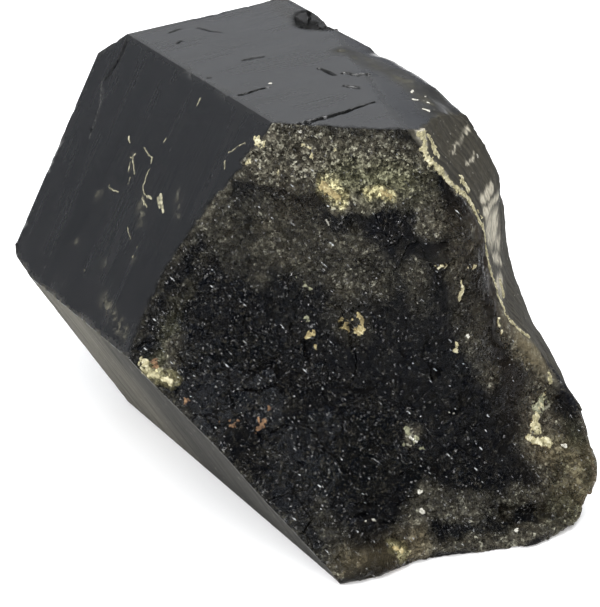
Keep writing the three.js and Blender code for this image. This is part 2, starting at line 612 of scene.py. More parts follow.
class Shader:
    """A material's or the world's nodes while they are put together."""

    def __init__(self, tree: bpy.types.NodeTree) -> None:
        """Empties the tree."""
        self.tree = tree
        tree.nodes.clear()

    def node(
        self,
        kind: str,
        settings: Mapping[str, Any] | None = None,
        sockets: Mapping[str | int, Any] | None = None,
    ) -> bpy.types.Node:
        """Adds a node.

        Args:
            kind: The node's type.
            settings: Its settings, set before its sockets. "stops" are a ramp's stops, as
                pairs of a place and a colour.
            sockets: A value, or a socket to link from, for each of its inputs by name or index.

        Returns:
            The node.
        """
        made = self.tree.nodes.new(kind)
        for key, value in (settings or {}).items():
            if key == "stops":
                self.put_stops(made.color_ramp, value)
            else:
                setattr(made, key, value)
        for key, value in (sockets or {}).items():
            source = value.socket if isinstance(value, Value) else value
            if isinstance(source, bpy.types.NodeSocket):
                self.tree.links.new(source, made.inputs[key])
            else:
                made.inputs[key].default_value = source
        return made

    @staticmethod
    def put_stops(ramp: bpy.types.ColorRamp, stops: Stops) -> None:
        """Gives a ramp its stops.

        Args:
            ramp: The ramp.
            stops: Pairs of a place from 0 to 1 and a colour.
        """
        while len(ramp.elements) < len(stops):
            ramp.elements.new(1.0)
        for element, (place, colour) in zip(ramp.elements, stops, strict=True):
            element.position = place
            element.color = (*colour, 1.0)

    def value(self, node: bpy.types.Node, output: str | int = 0) -> Value:
        """One of a node's outputs as a value."""
        return Value(self, node.outputs[output])

    def attribute(self, name: str) -> Value:
        """A number that the mesh carries at its corners."""
        node = self.node("ShaderNodeAttribute", {"attribute_name": name})
        return self.value(node, "Fac")

    def places(self) -> bpy.types.NodeSocket:
        """The place on the piece in millimetres."""
        source = self.node("ShaderNodeTexCoord").outputs["Object"]
        return self.vector("SCALE", source, 1 / MM)

    def vector(self, operation: str, a: Any, b: Any = None) -> bpy.types.NodeSocket:
        """A Vector Math node.

        Args:
            operation: Its operation.
            a: The first vector.
            b: The second vector, or for SCALE a number.

        Returns:
            Its result.
        """
        sockets: dict[str | int, Any] = {0: a}
        if b is not None:
            sockets["Scale" if operation == "SCALE" else 1] = b
        return self.node("ShaderNodeVectorMath", {"operation": operation}, sockets).outputs[0]

    def noise(self, vector: Any, size: float, detail: float = 3.0, rough: float = 0.55) -> Value:
        """Soft noise from 0 to 1 with features of about size, where the vector is in mm."""
        sockets = {"Vector": vector, "Scale": 1 / size, "Detail": detail, "Roughness": rough}
        return self.value(self.node("ShaderNodeTexNoise", None, sockets))

    def cells(self, vector: Any, size: float) -> bpy.types.NodeSocket:
        """The colours of a crowd of cells of about size, where the vector is in mm."""
        sockets = {"Vector": vector, "Scale": 1 / size}
        return self.node("ShaderNodeTexVoronoi", None, sockets).outputs["Color"]

    def grey(self, colour: bpy.types.NodeSocket, part: int = 0) -> Value:
        """One of the three parts of a colour."""
        node = self.node("ShaderNodeSeparateColor", None, {0: colour})
        return self.value(node, part)

    def blend(self, factor: Any, a: Any, b: Any) -> bpy.types.NodeSocket:
        """A colour between two.

        Args:
            factor: How far it goes from a to b, from 0 to 1.
            a: The first colour.
            b: The second colour.

        Returns:
            The colour's socket.
        """
        a, b = ((*c, 1.0) if isinstance(c, tuple) else c for c in (a, b))
        settings = {"data_type": "RGBA", "clamp_factor": True}
        return self.node("ShaderNodeMix", settings, {0: factor, 6: a, 7: b}).outputs[2]

    def coated(self, colour: Any, coats: Sequence[tuple[Any, Any]]) -> bpy.types.NodeSocket:
        """A colour with coats laid over it.

        Args:
            colour: The colour underneath.
            coats: Each coat's strength, from 0 to 1, and its colour.

        Returns:
            The colour's socket.
        """
        for strength, coat in coats:
            colour = self.blend(strength, colour, coat)
        return colour

    def ramp(self, value: Any, stops: Stops) -> bpy.types.NodeSocket:
        """A colour that runs through stops."""
        return self.node("ShaderNodeValToRGB", {"stops": stops}, {0: value}).outputs[0]

    def bump(self, height: Any, depth: float, normal: Any = None) -> bpy.types.NodeSocket:
        """A normal for a surface with relief.

        Args:
            height: The relief, from 0 to 1.
            depth: How many millimetres it stands proud at 1.
            normal: The normal under it, if not the mesh's own.

        Returns:
            The normal's socket.
        """
        sockets = {"Height": height, "Distance": depth * MM, "Strength": 1.0}
        if normal is not None:
            sockets["Normal"] = normal
        return self.node("ShaderNodeBump", None, sockets).outputs[0]

    def tilted(self, normal: Any, cells: bpy.types.NodeSocket, by: Any) -> bpy.types.NodeSocket:
        """A normal that leans another way in each cell.

        Args:
            normal: The normal to lean.
            cells: The cells' colours, which say which way each leans.
            by: How far they lean.

        Returns:
            The normal's socket.
        """
        lean = self.vector("SUBTRACT", cells, (0.5, 0.5, 0.5))
        amount = self.vector("SCALE", lean, by)
        return self.vector("NORMALIZE", self.vector("ADD", normal, amount))

    def principled(self, sockets: Mapping[str | int, Any]) -> bpy.types.NodeSocket:
        """A Principled shader."""
        return self.node("ShaderNodeBsdfPrincipled", None, sockets).outputs[0]

    def mixed(self, factor: Any, a: Any, b: Any) -> bpy.types.NodeSocket:
        """A shader that goes from a to b."""
        return self.node("ShaderNodeMixShader", None, {0: factor, 1: a, 2: b}).outputs[0]

    def output(self, surface: Any, volume: Any = None) -> None:
        """Shows a surface, and fills the body with a volume if one is given."""
        sockets = {"Surface": surface} | ({} if volume is None else {"Volume": volume})
        self.node("ShaderNodeOutputMaterial", None, sockets)


# ---- Finishes ----------------------------------------------------------------------------


class Finish:
    """What a piece is made of. Each kind builds its own nodes."""

    name: str

    def made(self) -> bpy.types.Material:
        """The material, built the first time that it is asked for.

        Returns:
            The material.
        """
        found = bpy.data.materials.get(self.name)
        if found is not None:
            return found
        material = bpy.data.materials.new(self.name)
        material.use_nodes = True
        self.build(Shader(material.node_tree))
        return material

    def build(self, shader: Shader) -> None:
        """Puts the nodes together.

        Args:
            shader: The material's nodes.
        """
        raise NotImplementedError


TEA = (
    (0.2, (0.005, 0.006, 0.009)),
    (0.75, (0.014, 0.014, 0.0145)),
    (1.0, (0.12, 0.112, 0.09)),
)
GREY = (
    (0.2, (0.045, 0.04, 0.031)),
    (0.7, (0.11, 0.102, 0.077)),
    (1.0, (0.32, 0.315, 0.25)),
)
OLIVE = (
    (0.2, (0.045, 0.045, 0.026)),
    (0.7, (0.125, 0.123, 0.072)),
    (1.0, (0.31, 0.31, 0.2)),
)
OCHRE = ((0.2, (0.13, 0.11, 0.05)), (0.9, (0.56, 0.52, 0.3)))


@dataclass(frozen=True)
class Patterns:
    """What the crystal's finish is mixed from, each a value from 0 to 1.

    Attributes:
        granular: Where the surface is broken, not grown.
        frost: How crushed the break is.
        lines: Fine growth lines.
        mottle: Soft blotches.
        crumb: One number for each crumb of the break.
        speck: One number for each of its finer specks.
        wisps: Where crushed stone drifts over the break.
    """

    granular: Value
    frost: Value
    lines: Value
    mottle: Value
    crumb: Value
    speck: Value
    wisps: Value


@dataclass(frozen=True)
class SmokyQuartz(Finish):
    """Dark smoky glass: satin grown faces, a glittering granular break, and thin dull films."""

    name: str = "dark_smoky_quartz"
    ior: float = 1.544
    tint: Colour = (0.36, 0.30, 0.22)
    brown_tint: Colour = (0.55, 0.38, 0.20)
    smoke: Colour = (0.55, 0.42, 0.28)
    smoke_density: float = 420.0
    crushed_tint: Colour = (0.085, 0.075, 0.065)
    crushed_brown: Colour = (0.42, 0.29, 0.14)
    crushed_ior: float = 1.13
    dull_shine: Colour = (0.8, 0.88, 1.0)
    grain_shine: float = 0.01
    line_stretch: Point = (0.06, 1.5, 0.06)
    line_depth: float = 0.028
    mottle_size: float = 1.1
    crumb_size: float = 0.55
    speck_size: float = 0.29
    # The grey, size, way and stretch of the painted glint streaks on the break.
    glint_streak_grey: Colour = (0.36, 0.37, 0.37)
    glint_streak_size: float = 0.19
    glint_streak_way: Point = (0.48, -0.6, -0.64)
    glint_streak_stretch: float = 0.84

    def build(self, shader: Shader) -> None:
        """Puts the nodes together.

        Args:
            shader: The material's nodes.
        """
        at = shader.places()
        crumbs = shader.cells(at, self.crumb_size)
        specks = shader.cells(at, self.speck_size)
        p = Patterns(
            granular=shader.attribute("granular"),
            frost=shader.attribute("frost"),
            lines=shader.noise(shader.vector("MULTIPLY", at, self.line_stretch), 1.0, 3.0, 0.5),
            mottle=shader.noise(at, self.mottle_size, 3.0, 0.6),
            crumb=shader.grey(crumbs),
            speck=shader.grey(specks, 1),
            wisps=self.wisps(shader, at),
        )
        sparkle = shader.grey(specks, 2).rise(0.92, 0.94) * (0.7 + p.frost * 0.3)
        grainy = p.granular * (0.22 + p.frost * 0.78)
        normal = shader.tilted(shader.bump(p.lines, self.line_depth), crumbs, grainy * 0.45)
        normal = shader.tilted(normal, specks, grainy * 0.5 + sparkle * p.granular * 0.9)
        satin = 0.19 + shader.attribute("smear") * 0.16 + (p.lines - 0.5) * 0.12
        grit = p.speck * 0.16 - satin + 0.06 + p.frost * 0.2
        rough = (satin + p.granular * grit + shader.attribute("silt") * 0.35).held()
        # Painted glints: thin streaks on the break take a pale grey base colour in place of light caught by
        # facets.
        streaks = self.streaks(shader, at) * (p.mottle.rise(0.46, 0.6) * p.granular)
        film = self.cover(shader, p).most(streaks * 0.85)
        colour = shader.blend(streaks, self.film_colour(shader, p), self.glint_streak_grey)
        # Dark low-shine glass on the break and on etched parts; on faces turned down, in the cracks and in
        # the chip it is painted shade.
        dull = (p.granular * (1.0 - sparkle) + shader.attribute("etched")).held()
        other = 1.0 - (1.0 - film) * (1.0 - dull)
        glass = {"Transmission Weight": 1.0, "Roughness": rough, "Normal": normal}
        brown = shader.attribute("brown")
        tint = shader.blend(brown, self.tint, self.brown_tint)
        face = shader.principled({"Base Color": tint, "IOR": self.ior, **glass})
        dark = shader.blend(brown, self.crushed_tint, self.crushed_brown)
        low_shine = {"Base Color": dark, "Specular Tint": (*self.dull_shine, 1.0)}
        crushed = shader.principled({**low_shine, "IOR": self.crushed_ior, **glass})
        matt = {"Base Color": colour, "Roughness": rough, "Normal": normal}
        grains = shader.principled({**matt, "Specular IOR Level": self.grain_shine})
        share = film / other.most(0.001)
        surface = shader.mixed(other, face, shader.mixed(share, crushed, grains))
        absorption = {"Color": (*self.smoke, 1.0), "Density": self.smoke_density}
        volume = shader.node("ShaderNodeVolumeAbsorption", None, absorption).outputs[0]
        shader.output(surface, volume)

    def cover(self, shader: Shader, p: Patterns) -> Value:
        """How much of the surface is covered by pale grains, threads, dust and scale, and by a dark coat
        that is real silt on the strip and the rubbed top, and painted shade on faces turned down and beside
        the ridge.

        Args:
            shader: The material's nodes.
            p: What the finish is mixed from.

        Returns:
            The share that is covered, from 0 to 1.
        """
        fleck = p.crumb * 0.42 + p.speck * 0.38 + p.mottle * 0.6 + p.wisps * 0.3 - 0.35
        grains = fleck.rise(1.0 - p.frost * 0.8, 1.22 - p.frost * 0.64) * p.granular
        drifts = p.wisps * p.granular * (0.04 + p.frost * 0.9)
        scale = (shader.attribute("pale") + (p.mottle - 0.5) * 0.7).rise(0.3, 0.7) * 0.9
        dust = shader.attribute("dust") * p.mottle.rise(0.42, 0.7)
        # The dark coat: real silt on the strip and the rubbed top, painted shade on faces turned down and
        # beside the ridge.
        silt = shader.attribute("silt") * (0.75 + p.lines * 0.4)
        clouds = (p.mottle * 0.4 + p.wisps * 0.75 + p.crumb * 0.15).rise(0.22, 0.85)
        fog = p.frost.rise(0.12, 0.7) * (0.26 + clouds * 0.6)
        haze = p.granular * (fog + shader.attribute("amber") * clouds * 0.5)
        layers = (grains, drifts, scale, dust, silt, haze, p.granular * 0.25)
        return functools.reduce(Value.most, layers).held()

    def film_colour(self, shader: Shader, p: Patterns) -> bpy.types.NodeSocket:
        """The colour of the grains, dust and scale, of the dark coat that is partly painted shade, and of
        painted glints on the grown faces.

        Args:
            shader: The material's nodes.
            p: What the finish is mixed from.

        Returns:
            The colour's socket.
        """
        tone = p.crumb * 0.6 + p.speck * 0.4
        # Rare pale specks on the films of the grown faces: painted glints.
        painted_glitter = p.speck.rise(0.985, 0.99) * p.mottle.rise(0.4, 0.6)
        yellow = (shader.attribute("yellow") + (p.mottle - 0.5) * 0.8).rise(0.2, 0.9)
        # The dark coat under the face films, which is painted shade where it lies on faces turned down.
        dark_coat = shader.blend(shader.attribute("strip"), (0.043, 0.042, 0.038), (0.043, 0.0395, 0.031))
        on_faces = (
            (shader.attribute("pale"), (0.5, 0.465, 0.37)),
            (shader.attribute("dust") * 2.0, (0.3, 0.28, 0.2)),
            (p.mottle.rise(0.45, 0.7) * 0.5, (0.08, 0.075, 0.06)),
            (p.lines.rise(0.35, 0.7) * 0.6, (0.02, 0.02, 0.02)),
            (painted_glitter * 0.7, (0.3, 0.29, 0.25)),
        )
        on_break = (
            (p.wisps * 0.6, (0.044, 0.04, 0.032)),
            (p.frost.rise(0.18, 0.56), shader.ramp(tone, GREY)),
            (shader.attribute("green"), shader.ramp(tone, OLIVE)),
            (shader.attribute("brown") * 0.4, (0.062, 0.049, 0.034)),
            (shader.attribute("amber") * 0.7, (0.13, 0.108, 0.066)),
            (yellow, shader.ramp(tone, OCHRE)),
        )
        broken = shader.coated(shader.ramp(tone, TEA), on_break)
        return shader.blend(p.granular, shader.coated(dark_coat, on_faces), broken)

    def wisps(self, shader: Shader, at: Any) -> Value:
        """Where crushed stone drifts in soft curling wisps over the break.

        Args:
            shader: The material's nodes.
            at: The place on the crystal, in mm.

        Returns:
            How thick the wisps are, from 0 to 1.
        """
        curl = {"Vector": at, "Scale": 0.42, "Detail": 4.0, "Distortion": 1.6}
        drift = shader.value(shader.node("ShaderNodeTexNoise", None, curl))
        hair = 1.0 - abs(drift - 0.5).rise(0.0, 0.05)
        return (drift.rise(0.48, 0.7) * 0.7 + hair * 0.4).held()

    def streaks(self, shader: Shader, at: Any) -> Value:
        """Where thin painted glints lie, all leaning one way: streaks of pale grey that stand in for light
        caught by tiny facets.

        Args:
            shader: The material's nodes.
            at: The place on the crystal, in mm.

        Returns:
            1 on a painted glint, and 0 elsewhere.
        """
        lean = shader.vector("PROJECT", at, self.glint_streak_way)
        back = shader.vector("SCALE", lean, self.glint_streak_stretch)
        glint_cells = shader.cells(shader.vector("SUBTRACT", at, back), self.glint_streak_size)
        return shader.grey(glint_cells, 2).rise(0.991, 0.994)


@dataclass(frozen=True)
class Mineral(Finish):
    """A dull mineral film or crust with three tones; its raised crumbs are lighter and its hollows darker,
    which is painted light and shade, mixed with tone that differs at random.
    """

    name: str
    low: Colour
    middle: Colour
    high: Colour
    roughness: float = 0.75
    grain: float = 0.45

    def build(self, shader: Shader) -> None:
        """Puts the nodes together.

        Args:
            shader: The material's nodes.
        """
        at = shader.places()
        cloud = shader.noise(at, self.grain * 3, 4.0, 0.6)
        crumbs = shader.cells(at, self.grain)
        crumb = shader.grey(crumbs)
        # The tone follows the crumbs that also stand up in the relief: painted shade in the hollows and
        # light on the crowns.
        tone = (cloud - 0.5) * 1.1 + crumb * 0.45 + 0.28
        colour = shader.ramp(tone, ((0.15, self.low), (0.5, self.middle), (0.88, self.high)))
        height = shader.noise(at, self.grain * 0.6, 4.0, 0.65) * 0.7 + crumb * 0.3
        normal = shader.tilted(shader.bump(height, 0.12), crumbs, 0.35)
        rough = self.roughness + (crumb - 0.5) * 0.25
        sockets = {"Base Color": colour, "Roughness": rough.held(), "Normal": normal}
        shader.output(shader.principled({**sockets, "Specular IOR Level": 0.35}))


@dataclass(frozen=True)
class StudioPaper(Finish):
    """The pale paper that the crystal lies on."""

    name: str = "studio_paper"
    colour: Colour = (0.86, 0.86, 0.865)
    glow: float = 0.2

    def build(self, shader: Shader) -> None:
        """Puts the nodes together.

        Args:
            shader: The material's nodes.
        """
        fibres = shader.noise(shader.places(), 30.0, 3.0)
        colour = shader.blend(fibres, self.colour, tuple(c * 0.99 for c in self.colour))
        lit = {"Emission Color": (1.0, 1.0, 1.0, 1.0), "Emission Strength": self.glow}
        shader.output(shader.principled({"Base Color": colour, "Roughness": 0.9, **lit}))


CREAM = Mineral("cream_crust", (0.11, 0.10, 0.05), (0.31, 0.28, 0.165), (0.52, 0.49, 0.35))
VEIN = Mineral("vein_cream", (0.05, 0.048, 0.032), (0.165, 0.155, 0.1), (0.36, 0.34, 0.24))
# A pale mineral, also laid down as painted glints.
CHALK_AND_GLINTS = Mineral("chalk_flecks", (0.14, 0.135, 0.11), (0.36, 0.35, 0.30), (0.62, 0.61, 0.55), 0.6)
MUSTARD = Mineral("mustard_film", (0.08, 0.06, 0.025), (0.25, 0.2, 0.09), (0.46, 0.41, 0.24))
RUST = Mineral("rust_film", (0.03, 0.016, 0.009), (0.1, 0.054, 0.026), (0.24, 0.145, 0.075))
LICHEN = Mineral("green_grey_film", (0.05, 0.05, 0.03), (0.15, 0.15, 0.095), (0.30, 0.30, 0.21))


# ---- The crystal's body ------------------------------------------------------------------


class Part(Enum):
    """Which kind of surface a face belongs to. Grown faces count up from 0."""

    BREAK = -1
    CHIP = -2


@dataclass(frozen=True)
class Layout:
    """What is known of each corner of the smoothed body, before it is carved.

    Attributes:
        rest: Its place.
        normal: Its unit normal.
        low: The lowest label of the faces round it.
        high: The highest label of the faces round it.
        broken: Whether it is on the break or on its rim.
        away: How far it is from the rim, if it is on the break.
        behind: How far it is behind the rim, if it is near it on another face.
        beside: Its place, moved along Y to the rim if it is just behind it.
        strip: How far it is on the strip to the right of the ridge, from 0 to 1.
    """

    rest: Array
    normal: Array
    low: Array
    high: Array
    broken: Array
    away: Array
    behind: Array
    beside: Array
    strip: Array

    @property
    def grown(self) -> Array:
        """Whether each corner is on grown faces alone."""
        return self.low >= 0


@dataclass
class CrystalBody:
    """The whole crystal as one closed body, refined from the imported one.

    Of its numbers, a step is an edge length, and a size is how wide facets or swells are, both in
    mm. A relief is how far facets lean, and how far they step up or down in mm. A stretch draws
    noise out along the axes, and a zone is the part near the rim or the ground that is looked at.
    """

    ledges: tuple[tuple[Trail, float], ...]
    shoulders: tuple[Trail, ...]
    chip_at: Point = (15.2, 5.3, 73.2)
    chip_reach: float = 7.5
    ridge_z: tuple[float, ...] = (-6, 8, 17, 28, 34, 40.5, 46, 49.2, 54.4, 58.8, 63.3, 68.7, 78)
    ridge_x: tuple[float, ...] = (44, 38.5, 31.4, 23.5, 18.6, 16.3, 15.2, 14.6, 12.2, 9.6, 5.7, 1.5, -3)
    flat_within: float = 0.01
    same_way: float = 0.9
    off_axis: Point = (0.3, 0.9, 0.32)
    least_facet: float = 3.0
    least_grown: float = 20.0
    break_step: float = 0.33
    strip_step: float = 0.5
    crease_step: float = 0.5
    ledge_step: float = 0.15
    seen_step: float = 1.0
    hidden_step: float = 1.8
    least_facing: float = 0.1
    finer: float = 1.5
    jitter: float = 0.12
    jitter_rate: float = 7.1
    jitter_start: float = 1.7
    most_halvings: int = 24
    towards: Point = (-0.463, -0.763, 0.452)
    rim_reach: float = 6.0
    rim_zone: float = 10.0
    floor_zone: float = 5.0
    break_rounds: int = 5
    shoulder_rounds: int = 12
    shoulder_step: float = 0.06
    swell_size: float = 13.0
    slab_size: float = 6.5
    slab_relief: tuple[float, float] = (0.12, 0.12)
    shell_size: float = 2.7
    shell_relief: tuple[float, float] = (0.2, 0.1)
    crumb_size: float = 1.05
    crumb_relief: tuple[float, float] = (0.42, 0.1)
    scale_size: float = 2.4
    scale_relief: tuple[float, float] = (0.2, 0.07)
    least_frost: float = 0.14
    strip_stretch: Point = (0.45, 0.45, 2.2)
    growth_stretch: Point = (0.35, 1.0, 0.35)
    fibre_stretch: Point = (1.5, 0.2, 1.5)
    smear_stretch: Point = (0.2, 1.0, 0.2)
    streak_way: Point = (-0.76, -0.65, 0.02)
    streak_across: Point = (0.0, 0.03, 1.0)
    streak_stretch: float = 0.18
    lower_side: tuple[float, float] = (0.866, -0.5)
    sharp: float = 32.0
    noise: Noise = field(default_factory=lambda: Noise(SEED))
    skin: Skin = field(init=False)
    seen: dict[int, float] = field(init=False)
    marks: dict[str, Array] = field(init=False)
    worn: Array = field(init=False)
    cracked: Array = field(init=False)

    def build(self) -> bpy.types.Object:
        """Refines, carves and dresses the body.

        Returns:
            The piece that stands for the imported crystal.
        """
        skin = self.labelled(welded(frame["nodes"][NODE].data))
        LOG.info("packed body: %d faces", len(skin.faces))
        self.skin = self.retiled(skin.refined(self.wanted, self.most_halvings))
        LOG.info("refined body: %d faces", len(self.skin.faces))
        self.smooth()
        self.carve(self.laid_out())
        piece = mesh_object("crystal_body", self.skin.points, self.skin.faces, SmokyQuartz())
        self.shade(piece)
        for name, values in self.marks.items():
            attribute = piece.data.attributes.new(name, "FLOAT", "POINT")
            attribute.data.foreach_set("value", values.astype(np.float32))
        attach(piece, BODY)
        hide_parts(NODE)
        return piece

    def labelled(self, skin: Skin) -> Skin:
        """Labels each face by its grown face, or as break or chip.

        Args:
            skin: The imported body.

        Returns:
            The same skin.
        """
        normal, area = skin.face_normals()
        corners = skin.points[skin.faces]
        middle = corners.mean(1)
        loose = np.ones(len(area), bool)
        label = np.zeros(len(area), int)
        todo = area.copy()
        number = 0
        while todo.max() > self.least_facet:
            i = int(todo.argmax())
            off = np.abs((corners - middle[i]) @ normal[i]).max(1)
            mine = (todo > 0) & (off < self.flat_within) & (normal @ normal[i] > self.same_way)
            if area[mine].sum() > self.least_grown:
                label[mine] = number
                loose[mine] = False
                number += 1
            todo[mine] = 0
            todo[i] = 0
        chipped = np.linalg.norm(middle - np.array(self.chip_at), axis=1) < self.chip_reach
        label[loose] = Part.BREAK.value
        label[loose & chipped] = Part.CHIP.value
        skin.labels = label
        facing = normal @ np.array(self.towards)
        self.seen = {k: float(facing[label == k][0]) for k in range(number)}
        LOG.info("grown faces: %d", number)
        return skin

    def wanted(self, skin: Skin, middle: Array, back: Array) -> Array:
        """The edge length wanted: fine on the break, and along the creases.

        Args:
            skin: The body.
            middle: The row of numbers at each edge's middle.
            back: Each face's three edges.

        Returns:
            One length for each edge.
        """
        low, high = label_range(back, skin.labels, len(middle))
        past = eased(self.past_ridge(middle), 0.0, 2.0)
        step = self.break_step + (self.strip_step - self.break_step) * past
        want = np.where(low < 0, step, FAR)
        crease = low != high
        want[crease] = np.minimum(want[crease], self.crease_step)
        return want

    def retiled(self, skin: Skin) -> Skin:
        """Lays each grown face out afresh in even triangles.

        Args:
            skin: The refined body.

        Returns:
            The body with its grown faces retiled, and their rims as they were.
        """
        normal, area = skin.face_normals()
        rest = skin.labels < 0
        rows, faces, labels = [skin.points], [skin.faces[rest]], [skin.labels[rest]]
        for label, facing in self.seen.items():
            mine = skin.labels == label
            ids, local = np.unique(skin.faces[mine], return_inverse=True)
            sheet = Skin(skin.points[ids], local.reshape(-1, 3), skin.labels[mine])
            ends, back = sheet.sides()
            border = ends[np.bincount(back.ravel(), minlength=len(ends)) == 1]
            rim = np.unique(border)
            up = normal[mine][int(area[mine].argmax())]
            side = np.cross(up, self.off_axis)
            side /= np.linalg.norm(side)
            axes = np.stack([side, np.cross(up, side)], 1)
            level = float((sheet.points[rim] @ up).mean())
            flat = sheet.points[rim] @ axes
            step = self.seen_step if facing > self.least_facing else self.hidden_step
            inner = self.scattered(flat, step, lambda p: p @ axes.T + up * level)
            spots = [Vector(p) for p in np.concatenate([flat, inner])]
            edges = np.searchsorted(rim, border).tolist()
            found, _, tiles, origin, _, _ = delaunay_2d_cdt(spots, edges, [], CDT_INSIDE, CDT_NEAR)
            start = sum(len(r) for r in rows)
            number = np.array([
                ids[rim[o[0]]] if o and o[0] < len(rim) else start + i
                for i, o in enumerate(origin)
            ])
            rows.append(np.array([p[:] for p in found]) @ axes.T + up * level)
            faces.append(number[np.array(tiles)])
            labels.append(np.full(len(tiles), label))
        whole = Skin(np.concatenate(rows), np.concatenate(faces), np.concatenate(labels))
        return whole.kept(np.arange(len(whole.faces)))

    def scattered(self, rim: Array, step: float, raised: Callable[[Array], Array]) -> Array:
        """Points spread over a grown face: step apart, and closer by its rim and its ledges.

        Args:
            rim: The points round the face, on its own plane.
            step: The widest spacing.
            raised: Gives the place in space of points on the plane.

        Returns:
            The points on the plane, some of them outside the rim.
        """
        low, high = rim.min(0), rim.max(0)
        border = tree_of(np.pad(rim, ((0, 0), (0, 1))))
        chosen, spacing = [], step
        while spacing > self.ledge_step / self.finer:
            across = np.arange(low[0], high[0], spacing)
            along = np.arange(low[1], high[1], spacing * ROW_GAP)
            grid = np.stack(np.meshgrid(across, along), 2)
            grid[1::2, :, 0] += spacing / 2
            points = grid.reshape(-1, 2)
            wave = np.sin(points[:, ::-1] * self.jitter_rate / spacing + self.jitter_start)
            points += self.jitter * spacing * wave
            want = self.spacing(raised(points), step)
            coarse_enough = (want <= spacing) | (spacing == step)
            points = points[(want > spacing / self.finer) & coarse_enough]
            if len(points):
                _, gap = nearest(border, np.pad(points, ((0, 0), (0, 1))))
                room = np.minimum(step, 0.75 * self.crease_step + 0.5 * gap)
                off_rim = gap > 0.5 * min(spacing, self.crease_step * 1.2)
                chosen.append(points[off_rim & (spacing < room * self.finer)])
            spacing /= self.finer
        return np.concatenate(chosen)

    def spacing(self, points: Array, step: float) -> Array:
        """The spacing wanted on a grown face: closer by the ledges.

        Args:
            points: The places on it.
            step: The widest spacing.

        Returns:
            One spacing for each place.
        """
        want = np.full(len(points), step)
        for trail, _ in self.ledges:
            width = max(trail.width, trail.last)
            gap = np.maximum(0, -trail.nearness(points) - 0.25) * width
            want = np.minimum(want, self.ledge_step + 0.5 * gap)
        return want

    def past_ridge(self, points: Array) -> Array:
        """How far points on the break lie to the right of its ridge."""
        return points[:, 0] - np.interp(points[:, 2], self.ridge_z, self.ridge_x)

    def smooth(self) -> None:
        """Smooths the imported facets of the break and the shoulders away, and swells the outline."""
        skin = self.skin
        low, high = label_range(skin.faces, skin.labels, len(skin.rows))
        skin.eased((low == high) & (low < 0), self.break_rounds)
        near = nearest_trail(self.shoulders, skin.points)
        for turn in range(self.shoulder_rounds):
            skin.eased(near > self.shoulder_step * turn, 1)
        out = skin.normals()
        # Low down the body swells only sideways, so that it still rests on the ground.
        out[skin.points[:, 2] < self.floor_zone, 2] = 0
        for trail, height in SWELLS:
            skin.rows[:, :3] += out * (height * eased(trail.nearness(skin.points), 0, 1))[:, None]

    def laid_out(self) -> Layout:
        """Measures where each corner of the smoothed body is.

        Returns:
            The layout of the corners.
        """
        skin = self.skin
        rest = skin.points.copy()
        low, high = label_range(skin.faces, skin.labels, len(rest))
        broken = low == Part.BREAK.value
        rim = rest[broken & (high >= 0)]
        away = np.zeros(len(rest))
        _, away[broken] = nearest(tree_of(rim), rest[broken])
        outer = np.where(~broken & (rest[:, 1] < self.rim_zone))[0]
        flat = np.array([1, 0, 1])
        who, _ = nearest(tree_of(rim * flat), rest[outer] * flat)
        behind = np.full(len(rest), FAR)
        behind[outer] = rest[outer, 1] - rim[who, 1]
        close = behind[outer] < self.rim_reach
        beside = rest.copy()
        beside[outer[close], 1] = rim[who[close], 1]
        strip = eased(self.past_ridge(rest), -0.2, 0.7) * broken
        return Layout(rest, skin.normals(), low, high, broken, away, behind, beside, strip)

    def carve(self, lay: Layout) -> None:
        """Chips the break, steps and wears the grown faces, and keeps what the finish needs.

        Args:
            lay: Where the corners are.
        """
        follows = lay.behind < self.rim_reach
        moved = lay.broken | follows
        height = np.zeros(len(lay.rest))
        height[moved] = self.break_relief(lay.beside[moved])
        height[follows] *= 1 - eased(lay.behind[follows], 0, 5)
        inward = eased(lay.away, 0.0, 2.5)
        along = lay.normal * inward[:, None] + np.array([0, -1, 0]) * (1 - inward)[:, None]
        self.skin.rows[:, :3] = lay.rest + unit(along) * height[:, None]
        self.step_grown_faces(lay)
        self.marks = self.noted(lay)

    def break_relief(self, at: Array) -> Array:
        """The relief of the break: slabs, shells and crumbs, with hollows and soft swells.

        Args:
            at: The places.

        Returns:
            How far each one stands proud of the smooth form.
        """
        noise = self.noise
        strip = eased(self.past_ridge(at), -1.8, 0.6)
        bent = noise.wander(at, 4.0, 1.6)
        slabs = noise.chips(noise.wander(at, 6.0, 2.5), self.slab_size)
        shells = Noise(SEED + 1).chips(bent, self.shell_size)
        crumbs = Noise(SEED + 2).chips(noise.wander(at, 1.2, 0.4), self.crumb_size)
        rough = (0.22 + 0.78 * self.frosting(at)) * (1 - 0.9 * strip)
        height = noise.fractal(at, self.swell_size, 3, Channel.BROAD) * 0.5 * (1 - 0.5 * strip)
        height += slabs.facet(*self.slab_relief) * (1 - 0.8 * strip)
        height += shells.facet(*self.shell_relief) * (0.12 + 0.88 * rough) * (1 - 0.85 * strip)
        height += crumbs.facet(*self.crumb_relief) * rough
        height += noise.fractal(at, 0.9, 3, Channel.CRUMBLE) * 0.10 * rough
        drawn = at * self.strip_stretch
        height += noise.fractal(drawn, 1.6, 3, Channel.DRAWN_OUT) * 0.14 * strip
        for trail, depth in BREAK_HOLLOWS:
            height -= depth * eased(trail.nearness(bent), 0, 0.8)
        return height

    def frosting(self, at: Array) -> Array:
        """How crushed the break is.

        Args:
            at: The places.

        Returns:
            0 where it is clear and 1 where it is crushed to pale grains.
        """
        bent = self.noise.wander(at, 3.0, 1.8)
        frost = np.full(len(at), self.least_frost)
        for trail, strength in FROST:
            frost = np.maximum(frost, strength * eased(trail.nearness(bent), 0, 0.8))
        for trail, strength in POOLS:
            frost *= 1 - strength * eased(trail.nearness(bent), 0, 0.8)
        return np.clip(frost + 0.18 * self.noise.fractal(at, 3.5, 3, Channel.FROST), 0, 1)

